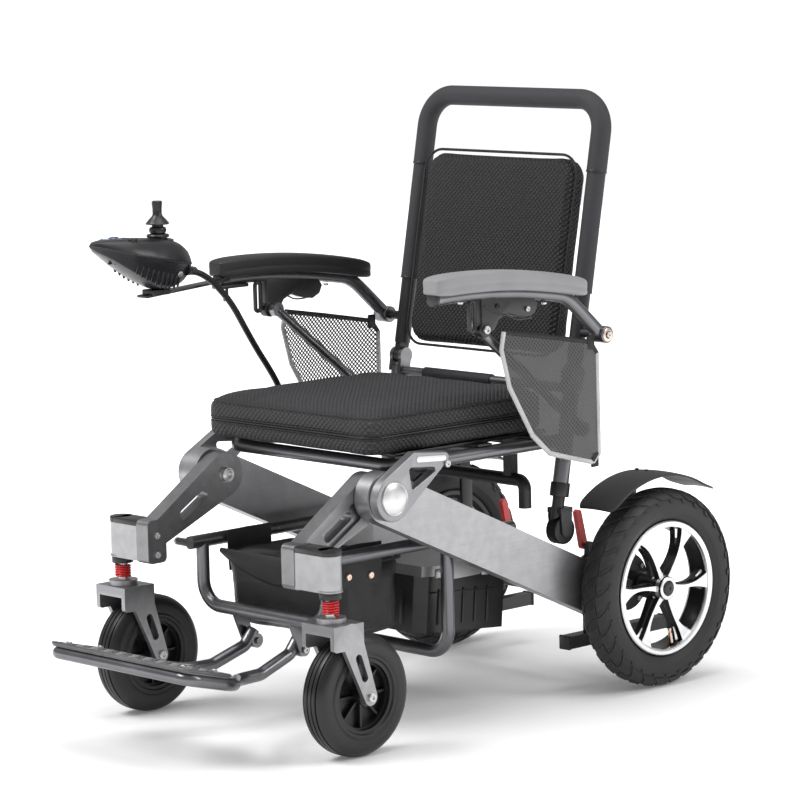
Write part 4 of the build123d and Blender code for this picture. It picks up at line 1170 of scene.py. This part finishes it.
def makeFrontDetails():
    s = frontShape
    stemX, stemY = s["stem"]
    dome = ontoWheel(lathe(hubCap, 64), s["hub"])
    bothSides(dome, "hubDome", "front_frame", "brightSteel", "bright_steel", 30)
    bar = block((0, 0, 0), s["reflectorSize"])
    roundEdges(bar, "x", 4.2, 6)
    bevel(bar, 0.5 * mm, 2, 60)
    bar.data.transform(at(s["reflector"]) @ turned(s["reflectorTilt"], "X"))
    bothSides(bar, "lugReflector", "front_frame", "reflectorWhite", "pale_metal", 30)
    cap = joined([block((stemX - 28, stemY, s["capZ"]), (57, 35, s["capTall"])),
                  cylinder((stemX, stemY, s["capZ"]), 17.6, s["capTall"], "Z", 48)])
    bevel(cap, 1.2 * mm, 2, 50)
    bothSides(cap, "housingCap", "front_frame", "blackPlastic", "black_plastic", 35)
    lip = cylinder((stemX, stemY, s["lipZ"]), 18.2, 3.5, "Z", 48)
    bevel(lip, 0.8 * mm, 2, 50)
    bothSides(lip, "housingLip", "front_frame", "castGrey", "cast_grey", 35)
    for body, places in frontBolts.items():
        bothSides(bolts(places), "bolts_" + body.replace("_{}", ""), body, "brightSteel", "bright_steel", 30)


makeFrontDetails()


# casters: ribbed sidewalls and hub caps
def makeCasterDetails():
    cap = lathe([(23, 0.4), (23, 15), (25.5, 14.5), (26.2, 11), (26.2, 0.4)], 40)
    ring = lathe([(20.6, 50), (20.6, 55), (23.2, 56.5), (23.6, 60), (22.2, 62.5), (19, 63), (19, 50)], 72)
    parts = [cap, ring]
    for each in (cap, ring):
        parts.append(copyOf(each, mirrorAcross))
    wheel = ontoWheel(joined(parts), (232, -272, 90))
    bothSides(wheel, "casterFlank", "caster_wheel_{}", "casterBlack", "caster_black", 35)


makeCasterDetails()
print("front details done")


# back posts, crossbar and seat board
postShape = {"x": 190, "collarZ": -179, "rings": ((309, 16.2), (124.5, 15.2)), "sleeve": (-55, 0, -24),
             "sleeveLong": 150,
             "board": (0, 30, 414.6), "boardSize": (352, 318, 5.5), "clipX": 181, "clips": (-96, 40, 150)}


def makePostDetails():
    s = postShape
    collar = cylinder((s["x"], 0, s["collarZ"]), 15, 22, "Z", 48)
    bevel(collar, 1.5 * mm, 3, 50)
    collar.data.transform(leanMatrix())
    bothSides(collar, "postCollar", "seat", "blackPlastic", "black_plastic", 35)
    sleeve = cylinder(s["sleeve"], 9.2, s["sleeveLong"], "X", 40)
    bevel(sleeve, 1.2 * mm, 2, 50)
    sleeve.data.transform(leanMatrix())
    finish(sleeve, "crossbarSleeve", "seat", "foamBlack", "foam_black", 35)
    rings = []
    for height, radius in s["rings"]:
        ring = cylinder((s["x"], 0, height), radius, 3, "Z", 48)
        bevel(ring, 0.8 * mm, 2, 50)
        rings.append(ring)
    band = joined(rings)
    band.data.transform(leanMatrix())
    bothSides(band, "sleeveRings", "backrest", "blackPlastic", "black_plastic", 35)
    board = block(s["board"], s["boardSize"])
    bevel(board, 1.5 * mm, 2, 50)
    finish(board, "seatBoard", "seat", "blackPlastic", "black_plastic", 35)
    for x in (-1, 1):
        for y in s["clips"]:
            strap = block((x * s["clipX"], y, 412.4), (26, 30, 3.2))
            bevel(strap, 0.9 * mm, 2, 50)
            finish(strap, f"boardClip_{x}_{y}".replace("-", "m"), "seat", "blackPlastic", "black_plastic",
                   35)


makePostDetails()


# armrest fittings
armFittings = {
    "capY": -104, "capZ": 646, "tubeX": 237,
    "bright": [((244, 83, 616), (1, 0, 0), 4), ((244.5, -5, 593), (1, 0, 0), 6.2),
               ((252.5, 249, 562), (1, 0, 0), 4.5),
               ((240, -52, 638), (0, 0, -1), 4.2), ((240, 123, 622), (0, 0, -1), 4.2)],
    "dark": [((244, 20, 626), (1, 0, 0), 4)],
    "ribX": 244.3,
    "rib": [(-6, 628), (20, 613), (44, 610), (62, 600), (92, 603)],
}


def makeArmFittings():
    s = armFittings
    cap = cylinder((s["tubeX"], s["capY"], s["capZ"]), 11.4, 7, "Y", 40)
    bevel(cap, 1.6 * mm, 3, 50)
    dark = bolts(s["dark"])
    knuckle = cylinder((236.5, -4, 593), 12, 15, "X", 40)
    bevel(knuckle, 1.4 * mm, 3, 50)
    bothSides(joined([cap, knuckle, dark]), "armCaps", "armrest_{}", "blackPlastic", "black_plastic", 35)
    bothSides(bolts(s["bright"]), "armBolts", "armrest_{}", "brightSteel", "bright_steel", 30)
    ring = ontoWheel(lathe([(250.4, 6), (250.4, 10.2), (252.6, 10.2), (253.2, 9), (253.2, 6)], 40),
                     (0, 248.9, 561.9))
    bothSides(ring, "bushRing", "armrest_{}", "copper", "bright_steel", 30)
    rib = tubeAlong([(s["ribX"], y, z) for y, z in s["rib"]], 1.3, resolution=3, kind="NURBS")
    bothSides(rib, "latchRib", "armrest_{}", "blackFrame", "black_frame", 0)
    loops = []
    for y, z in ((222, 552), (228, 372)):
        loop = block((241, y, z), (4.5, 15, 22))
        bevel(loop, 1.6 * mm, 3, 50)
        loops.append(loop)
    bothSides(joined(loops), "pocketLoops", "armrest_{}", "bandBlack", "mesh_fabric", 35)


makeArmFittings()
print("posts and armrest fittings done")


# storage bag
bagShape = {"half": 119, "front": -211, "rear": -65, "top": 253, "low": 141, "voxel": 5, "pressure": 2.2,
            "cap": 5}


def makeBag():
    s = bagShape
    bag = block((0, (s["front"] + s["rear"]) / 2, (s["top"] + s["low"]) / 2),
                (2 * s["half"], s["rear"] - s["front"], s["top"] - s["low"]))

    def taper(place):
        low = (s["top"] - place.z / mm) / (s["top"] - s["low"])
        if place.y / mm < (s["front"] + s["rear"]) / 2:
            place.y += 13 * low * mm
        else:
            place.y -= 6 * low * mm
        return place

    shape(bag, taper)
    bevel(bag, 12 * mm, 4, 60)
    puff(bag, s["voxel"], s["pressure"], s["cap"])

    def crease(place):
        x, y, z = (value / mm for value in place)
        low = (s["top"] - z) / (s["top"] - s["low"])
        sag = 2.2 * math.sin(x * 0.045 + 1.1) * math.sin(z * 0.08 + y * 0.02) * min(1, max(0, low * 3))
        if y < s["front"] + 30:
            place.y += abs(sag) * mm
        if abs(x) > s["half"] - 20:
            place.x -= math.copysign(abs(2.0 * math.sin(y * 0.07) * math.cos(z * 0.06)) * mm, x)
        return place

    shape(bag, crease)
    boxUv(bag)
    bag = finish(bag, "storageBag", "cargo", "bagFabric", "bag_fabric", 0)
    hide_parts("storage_bag")
    # the front flap hangs as a scoop from the top edge; the side flap has two snaps
    quiet()
    bpy.ops.mesh.primitive_grid_add(x_subdivisions=48, y_subdivisions=14, size=2)
    flap = bpy.context.object

    def scoop(place):
        u, v = place.x, (place.y + 1) / 2
        drop = 8 + 26 * (1 - abs(u) ** 2.2) * v + 12 * v * (1 - abs(u))
        bulge = 4.5 * math.sin(math.pi * min(1, v * 1.1)) * (1 - 0.5 * abs(u))
        y = s["front"] - 4.2 - bulge + 0.09 * drop
        return Vector((u * (s["half"] + 1.5), y, s["top"] + 3.5 - drop * v ** 0.8)) * mm

    shape(flap, scoop)
    modify(flap, "SOLIDIFY", thickness=1.8 * mm, offset=0)
    facing(flap)
    boxUv(flap)
    finish(flap, "bagFlap", "cargo", "bagFabric", "bag_fabric", 0)
    sideFlap = subdivided(block((s["half"] + 3.6, -155, 250), (2.2, 88, 62)), 9)

    def hang(place):
        y, z = place.y / mm, place.z / mm
        down = max(0.0, (250 - z) / 31)
        place.y -= (y + 155) * 0.1 * down * mm
        place.x += (1.3 * math.sin(y * 0.09) * down + 1.0 * down) * mm
        place.z += 0.0008 * math.sin(y * 0.07)
        return place

    shape(sideFlap, hang)
    bevel(sideFlap, 0.7 * mm, 2, 50)
    boxUv(sideFlap)
    bothSides(sideFlap, "bagSideFlap", "cargo", "bagFabric", "bag_fabric", 50)
    snaps = []
    for y, z in ((-180, 235), (-135, 232)):
        snap = ontoWheel(lathe([(0, 0.4), (0, 5.4), (1.4, 5.4), (2.6, 4.2), (2.6, 2.2), (1.9, 1.6),
                                (1.9, 0.4)], 32),
                         (s["half"] + 5.6, y, z))
        snaps.append(snap)
    bothSides(joined(snaps), "bagSnaps", "cargo", "copper", "bright_steel", 30)
    ring = roundedRing(s["half"] + 1.2, s["front"] - 1.2, s["rear"] + 1.2, 14, s["top"] - 3)
    hem = tubeAlong(ring, 2.2, closed=True, resolution=3)
    finish(hem, "bagHem", "cargo", "bandBlack", "bag_fabric", 0)


makeBag()
print("bag done")


# battery details
batteryShape = {"y": 64, "z": 160, "tilt": -5, "half": 114, "length": 178, "height": 86}


def makeBatteryDetails():
    s = batteryShape
    place = at((0, s["y"], s["z"])) @ turned(s["tilt"], "X")
    ribs = []
    for side in (-1, 1):
        for step in range(5):
            rib = block((side * (s["half"] + 0.6), -50 + 26 * step, -4), (3.2, 5, 54))
            ribs.append(bevel(rib, 0.9 * mm, 2, 50))
    for step in range(6):
        ribs.append(bevel(block((-75 + 30 * step, -s["length"] / 2 - 0.4, -6), (6, 3, 50)), 0.8 * mm, 2, 50))
    seam = block((0, 0, 18), (2 * s["half"] + 2.4, s["length"] - 30, 3))
    ribs.append(bevel(seam, 0.8 * mm, 2, 50))
    detail = joined(ribs)
    detail.data.transform(place)
    finish(detail, "batteryRibs", "cargo", "blackPlastic", "black_plastic", 35)
    grip = tubeAlong([(-40, -90, 30), (-40, -100, 34), (40, -100, 34), (40, -90, 30)], 4.2, resolution=4)
    grip.data.transform(place)
    finish(grip, "batteryGrip", "cargo", "blackPlastic", "black_plastic", 40)
    corners = [(side * 113, y, 47) for side in (-1, 1) for y in (-50, 50)]
    clasp = joined([bevel(block(corner, (5, 22, 14)), 1.2 * mm, 2, 50) for corner in corners])
    clasp.data.transform(place)
    finish(clasp, "trayClasps", "cargo", "paleMetal", "pale_metal", 35)


makeBatteryDetails()
print("battery details done")


# footrest tread
treadShape = {"rearY": -432, "frontY": -516, "rearZ": 118, "frontZ": 140, "half": 154, "length": 12,
              "width": 4.4,
              "height": 1.1, "pitch": 15}


def makeTread():
    s = treadShape
    slope = math.atan2(s["frontZ"] - s["rearZ"], s["rearY"] - s["frontY"])
    reach = (s["rearY"] - s["frontY"] + 8) / 2
    middle = at((0, (s["rearY"] + s["frontY"]) / 2 - 4, (s["rearZ"] + s["frontZ"]) / 2 + 13.8))
    place = middle @ Matrix.Rotation(-slope, 4, "X")
    quiet()
    bpy.ops.mesh.primitive_circle_add(vertices=10, radius=1, fill_type="NGON")
    seed = bpy.context.object

    def grain(spot):
        u = abs(spot.x)
        return Vector((spot.x * s["length"] / 2 * u ** 0.15, spot.y * s["width"] / 2 * (1 - 0.3 * u),
                       0)) * mm

    shape(seed, grain)
    edit(seed)
    bpy.ops.mesh.select_all(action="SELECT")
    bpy.ops.mesh.extrude_region_move(TRANSFORM_OT_translate={"value": (0, 0, s["height"] * mm)})
    bpy.ops.transform.resize(value=(0.7, 0.6, 1))
    bpy.ops.object.mode_set(mode="OBJECT")
    facing(seed)
    marks = []
    columns = int(2 * s["half"] / s["pitch"])
    rows = int(2 * reach / s["pitch"])
    for column in range(columns):
        for row in range(rows):
            x = (column - (columns - 1) / 2) * s["pitch"]
            y = (row - (rows - 1) / 2) * s["pitch"]
            turn = math.radians(45 if (column + row) % 2 else -45)
            matrix = place @ at((x, y, 2.0)) @ Matrix.Rotation(turn, 4, "Z")
            marks.append(copyOf(seed, matrix))
    bpy.data.objects.remove(seed)
    finish(joined(marks), "footTread", "footrest", "treadPlate", "tread_plate", 30)
    rim = tubeAlong(roundedRing(s["half"], -reach, reach, 14, 0.3, steps=6), 2.5, closed=True, resolution=3)
    rim.data.transform(place)
    finish(rim, "footPlateEdge", "footrest", "treadPlate", "tread_plate", 0)
    heads = bolts([((x, y, 2.2), (0, 0, 1), 4.5) for x in (-128, 128) for y in (-30, 30)])
    heads.data.transform(place)
    finish(heads, "footPlateBolts", "footrest", "brightSteel", "bright_steel", 30)


makeTread()
print("footrest tread done")


# motors, anti-tip bars and beam ends
motorShape = {"axle": (0, 369, 155), "finStart": 98, "finPitch": 7, "finWide": 3, "fins": 7, "low": 36,
              "high": 39.4}
gearShape = {"plate": (188, 326, 182), "plateSize": (6, 40, 48), "corner": 9, "boltsY": (313, 338),
             "boltsZ": (198, 168),
             "ring": 38, "turns": (0.6, 2.2, 3.8, 5.4)}
beamShape = {"slope": 24.5, "length": 561, "hub": (-176, 361), "x": 191, "plug": (28.6, 5, 76.6)}


def makeChassisDetails():
    s, gear, beam = motorShape, gearShape, beamShape
    fins = []
    for step in range(s["fins"]):
        near = s["finStart"] + s["finPitch"] * step
        far = near + s["finWide"]
        fin = lathe([(near, s["low"]), (near, s["high"]), (far, s["high"]), (far, s["low"])], 56)
        fins.append(ontoWheel(fin, s["axle"]))
    fins.append(ontoWheel(lathe([(90, 0.4), (90, 33), (92.4, 36.6), (94, 36.6), (94, 0.4)], 56), s["axle"]))
    bothSides(joined(fins), "motorFins", "chassis", "blackPlastic", "black_plastic", 35)
    plate = block(gear["plate"], gear["plateSize"])
    roundEdges(plate, "x", gear["corner"], 5)
    bevel(plate, 0.8 * mm, 2, 50)
    bothSides(plate, "gearboxPlate", "chassis", "castGrey", "cast_grey", 35)
    axleY, axleZ = s["axle"][1:]
    heads = [((191, y, z), (1, 0, 0), 4.2) for z in gear["boltsZ"] for y in gear["boltsY"]]
    for turn in gear["turns"]:
        spot = (176, axleY + gear["ring"] * math.cos(turn), axleZ + gear["ring"] * math.sin(turn))
        heads.append((spot, (1, 0, 0), 3.6))
    bothSides(bolts(heads), "gearboxBolts", "chassis", "brightSteel", "bright_steel", 30)
    plugs = []
    for y in (252, 479):
        plug = block((150, y, 73), (22.5, 5, 22.5))
        plugs.append(bevel(plug, 1.4 * mm, 2, 50))
    bothSides(joined(plugs), "antiTipPlugs", "chassis", "blackPlastic", "black_plastic", 35)
    slope = math.radians(beam["slope"])
    end = block((beam["x"], 0, 0), beam["plug"])
    bevel(end, 1.2 * mm, 2, 50)
    endY = beam["hub"][0] + beam["length"] * math.cos(slope)
    endZ = beam["hub"][1] - beam["length"] * math.sin(slope)
    end.data.transform(at((0, endY, endZ)) @ Matrix.Rotation(-slope, 4, "X"))
    bothSides(end, "beamEndCap", "chassis", "blackPlastic", "black_plastic", 35)


makeChassisDetails()
print("chassis details done")


# armrest tube, latch and controller bracket
armRun = {"x": 237, "front": -103, "radius": 10.5, "sink": 3.3, "pivot": (249, 562),
          "link": (-25, 614, 17, 5.5)}
latchOutline = [(-12, 641), (60, 641), (98, 633), (107, 622), (101, 609), (86, 602), (62, 606), (42, 613),
                (25, 606), (14, 590), (-10, 586)]


def armCentre(y):
    return padTop(y) - padShape["thick"] - armRun["sink"]


def makeArmTubes():
    s = armRun
    route = [(s["x"], y, armCentre(y)) for y in (s["front"], -70, -30, 10, 60, 110, 145, 165)]
    route += [(s["x"], 182, 619), (s["x"], 196, 608), (s["x"], 220, 587), (s["x"], 241, 569)]
    run = tubeAlong(route, s["radius"], resolution=8, kind="NURBS")
    bush = cylinder((238, s["pivot"][0], s["pivot"][1]), 13, 28, "X", 48)
    bevel(bush, 1.5 * mm, 3, 50)
    bothSides(joined([run, bush]), "armTube", "armrest_{}", "frameGrey", "frame_grey", 40,
              ["armrest_tube_{}"])
    quiet()
    bpy.ops.mesh.primitive_circle_add(vertices=len(latchOutline), radius=1, fill_type="NGON")
    latch = bpy.context.object
    for vertex, (y, z) in zip(latch.data.vertices, latchOutline):
        vertex.co = Vector((229.5, y, z)) * mm
    edit(latch)
    bpy.ops.mesh.select_all(action="SELECT")
    bpy.ops.mesh.extrude_region_move(TRANSFORM_OT_translate={"value": (14.5 * mm, 0, 0)})
    bpy.ops.object.mode_set(mode="OBJECT")
    facing(latch)
    bevel(latch, 2.2 * mm, 3, 25)
    ring = []
    linkY, linkZ, linkReach, linkRound = s["link"]
    for step in range(20):
        angle = math.tau * step / 20
        side = linkReach if math.sin(angle) > 0 else -linkReach
        ring.append((236, linkY + linkRound * math.cos(angle), linkZ + side + linkRound * math.sin(angle)))
    link = tubeAlong(ring, 3.4, closed=True, resolution=4)
    bothSides(joined([latch, link]), "armLatch", "armrest_{}", "blackFrame", "black_frame", 40,
              ["armrest_latch_{}"])
    centre = armCentre(s["front"])
    low = centre - s["radius"] - 4
    bar = bevel(block((0, 0, 0), (25, 168, 4)), 1.2 * mm, 2, 50)
    bar.data.transform(at((-s["x"], -174, 640.5)) @ turned(4.2, "X"))
    stem = bevel(block((-234, -232, 640), (28, 34, 9)), 2 * mm, 3, 50)
    clamp = bevel(block((-237, -80, low + 4), (20, 60, 6)), 2 * mm, 3, 50)
    bracket = finish(joined([bar, stem, clamp]), "controllerArm", "armrest_right", "blackFrame",
                     "black_frame", 40)
    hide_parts("controller_bracket")
    shank = cylinder((-232, -92, low - 8), 2.6, 18, "Z", 20)
    head = bevel(cylinder((-232, -92, low - 16), 6, 5, "Z", 12), 1 * mm, 2, 50)
    finish(joined([shank, head]), "bracketScrew", "armrest_right", "blackPlastic", "black_plastic", 35)


makeArmTubes()


# controller
controllerShape = {
    "x": -232,
    # y, half width, top, ridge, bottom
    "stations": [(-358, 3, 722, 719, 716), (-350, 13, 725, 717, 709), (-330, 27, 727, 711, 697),
                 (-300, 39, 727, 703, 677),
                 (-270, 44, 725, 697, 658), (-245, 45, 723, 691, 646), (-222, 43, 721, 686, 643),
                 (-202, 37, 715, 682, 648),
                 (-184, 26, 704, 680, 658), (-172, 13, 692, 679, 667), (-166, 4, 684, 679, 674)],
    "vents": range(-292, -210, 9),
    # x, y, width, depth
    "icons": [(-9, -330, 8, 2), (-2, -326, 3, 6), (6, -330, 7, 2), (-13, -312, 9, 2), (0, -314, 3.4, 5),
              (12, -312, 8, 2)],
    "stud": (-194.5, -216.5, 668),
    "relief": (-206, -194, 671.2),
}
stickProfile = [(708, 0.4), (708, 8), (728, 9), (730, 12.6), (734, 13.4), (737.5, 12.4), (739, 9),
                (741.5, 8.6), (742.5, 17.6),
                (744, 18), (750, 13), (755, 8.2), (758, 7), (766, 7.1), (774, 7.9), (777, 7.7),
                (778, 6.6), (778, 0.4)]
bootProfile = [(715, 0.4), (715, 24), (719, 24), (720.5, 20), (721, 14), (722.4, 13.6), (723.2, 17),
               (725.6, 17.6), (727.6, 16), (728.6, 11),
               (728.6, 0.4)]


def stationAt(v):
    rows = controllerShape["stations"]
    y = rows[0][0] + (rows[-1][0] - rows[0][0]) * (v + 1) / 2
    for first, second in zip(rows, rows[1:]):
        if y <= second[0] + 0.001:
            part = (y - first[0]) / (second[0] - first[0])
            return [a + (b - a) * part for a, b in zip(first, second)]
    return rows[-1]


def makeController():
    s = controllerShape
    shell = subdivided(block((0, 0, 0), (2, 2, 2)), 23)

    def mould(place):
        u, v, w = (value / mm for value in place)
        y, half, top, ridge, bottom = stationAt(v)
        if w > 0:
            wide = 1 - 0.28 * w ** 1.6
            z = ridge + (top - ridge) * (w - 0.22 * w * u ** 4)
        else:
            wide = 0.965 - 0.4 * (-w) ** 1.25
            z = ridge + (ridge - bottom) * w * (1 - 0.12 * u ** 2)
        return Vector((s["x"] + u * half * wide, y, z)) * mm

    shape(shell, mould)
    facing(shell)
    shell = finish(shell, "controllerShell", "armrest_right", "controllerBlack", "black_plastic", 40)
    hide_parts("controller_case")
    line = []
    for side in (1, -1):
        rows = s["stations"] if side > 0 else s["stations"][::-1]
        line += [(s["x"] + side * (half * 0.99 + 0.2), y, ridge + 0.3) for y, half, top, ridge,
                 bottom in rows]
    rim = tubeAlong(line, 0.9, closed=True, resolution=3)
    finish(rim, "controllerRidge", "armrest_right", "blackFrame", "black_frame", 0)
    fins = []
    nose, tail = s["stations"][0][0], s["stations"][-1][0]
    for y in s["vents"]:
        station, half, top, ridge, bottom = stationAt(2 * (y - nose) / (tail - nose) - 1)
        for side in (1, -1):
            fin = block((0, 0, 0), (2.6, 3.2, max(10, (ridge - bottom) * 0.6)))
            bevel(fin, 0.8 * mm, 2, 50)
            spot = at((s["x"] + side * half * 0.69, y, bottom + (ridge - bottom) * 0.33))
            fin.data.transform(spot @ turned(side * 20, "Y"))
            fins.append(fin)
    for x in (-14, -7, 0, 7, 14):
        slotBar = block((s["x"] + x, -318 + abs(x) * 0.9, 690.5), (3.4, 15, 3.4))
        bevel(slotBar, 0.8 * mm, 2, 50)
        fins.append(slotBar)
    finish(joined(fins), "controllerVents", "armrest_right", "blackPlastic", "black_plastic", 35)
    icons = []
    for x, y, wide, deep in s["icons"]:
        icons.append(bevel(block((s["x"] + x, y, 727.3), (wide, deep, 0.9)), 0.3 * mm, 1, 50))
    finish(joined(icons), "controllerIcons", "armrest_right", "iconBlue", "black_plastic", 35)
    plate = lathe([(0, 0.4), (0, 4.6), (0.9, 4.6), (1.2, 4), (1.2, 0.4)], 28)
    plate.data.transform(at(s["stud"]) @ turned(18, "Y"))
    finish(plate, "controllerStud", "armrest_right", "paleMetal", "pale_metal", 35)
    upright = at((s["x"], -227, 0)) @ turned(-90, "Y")
    stick = lathe(stickProfile, 48)
    stick.data.transform(upright)
    stick = finish(stick, "joystickKnob", "joystick_stick", "controllerBlack", "black_plastic", 40)
    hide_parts("joystick_stick")
    boot = lathe(bootProfile, 48)
    boot.data.transform(upright)
    finish(boot, "joystickBoot", "armrest_right", "controllerBlack", "black_plastic", 40)
    relief = lathe([(0, 0.4), (0, 8), (6, 7.4), (8, 6), (11, 7), (13, 5.6), (16, 6.6), (18, 5.4),
                    (18, 0.4)], 32)
    relief.data.transform(at(s["relief"]) @ turned(90, "Z") @ turned(8, "Y"))
    finish(relief, "cableRelief", "armrest_right", "blackPlastic", "black_plastic", 40)


finishes["controllerBlack"] = makeMaterial("controllerBlack", grey(0.008, 0.002), grey(0.013, 0.003), 0.0,
                                           (0.3, 0.4), 2600, 0.3,
                                           wear=0.25, wearTone=grey(0.06))
makeController()
print("controller done")


# floor, light and backdrop
def makeStudio():
    quiet()
    bpy.ops.mesh.primitive_plane_add(size=14, location=(0, 0, 0))
    floor = bpy.context.object
    floor.name = "floor"
    pale = bpy.data.materials.new("floorPale")
    pale.use_nodes = True
    tree = pale.node_tree
    shader = tree.nodes["Principled BSDF"]
    shader.inputs["Base Color"].default_value = (0.92, 0.92, 0.92, 1)
    shader.inputs["Roughness"].default_value = 0.9
    shader.inputs["Emission Color"].default_value = (1, 1, 1, 1)
    # plain near the object, and lost in white further out
    reach = addNode(tree, "ShaderNodeVectorMath", operation="LENGTH")
    tree.links.new(addNode(tree, "ShaderNodeTexCoord").outputs["Object"], reach.inputs[0])
    fade = addNode(tree, "ShaderNodeMapRange", in1=0.5, in2=1.8, in3=0.1, in4=1.0)
    tree.links.new(reach.outputs["Value"], fade.inputs[0])
    tree.links.new(fade.outputs[0], shader.inputs["Emission Strength"])
    floor.data.materials.append(pale)
    floor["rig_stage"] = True
    world = bpy.data.worlds.new("studio")
    world.use_nodes = True
    # white behind the object, and a softer light on it
    sky = world.node_tree.nodes["Background"]
    sky.inputs[0].default_value = (1, 1, 1, 1)
    seen = addNode(world.node_tree, "ShaderNodeLightPath")
    strength = addNode(world.node_tree, "ShaderNodeMapRange", in3=studio["world"], in4=1.05)
    world.node_tree.links.new(seen.outputs["Is Camera Ray"], strength.inputs[0])
    world.node_tree.links.new(strength.outputs[0], sky.inputs[1])
    bpy.context.scene.world = world
    for place, size, power in studio["lamps"]:
        bpy.ops.object.light_add(type="AREA", location=place)
        lamp = bpy.context.object
        lamp.data.shape = "RECTANGLE"
        lamp.data.size, lamp.data.size_y = size
        lamp.data.energy = power
        lamp.rotation_euler = (Vector((0, 0, 0.4)) - Vector(place)).to_track_quat("-Z", "Y").to_euler()
    bpy.context.scene.view_settings.view_transform = "Standard"


studio = {
    "world": 0.46,
    "lamps": [((-1.2, -2.2, 3.2), (2.2, 1.4), 90), ((2.8, 1.6, 2.4), (1.2, 2.0), 45),
              ((0.2, 0.3, 4.0), (2.5, 2.5), 60)],
}
makeStudio()
print("studio set")
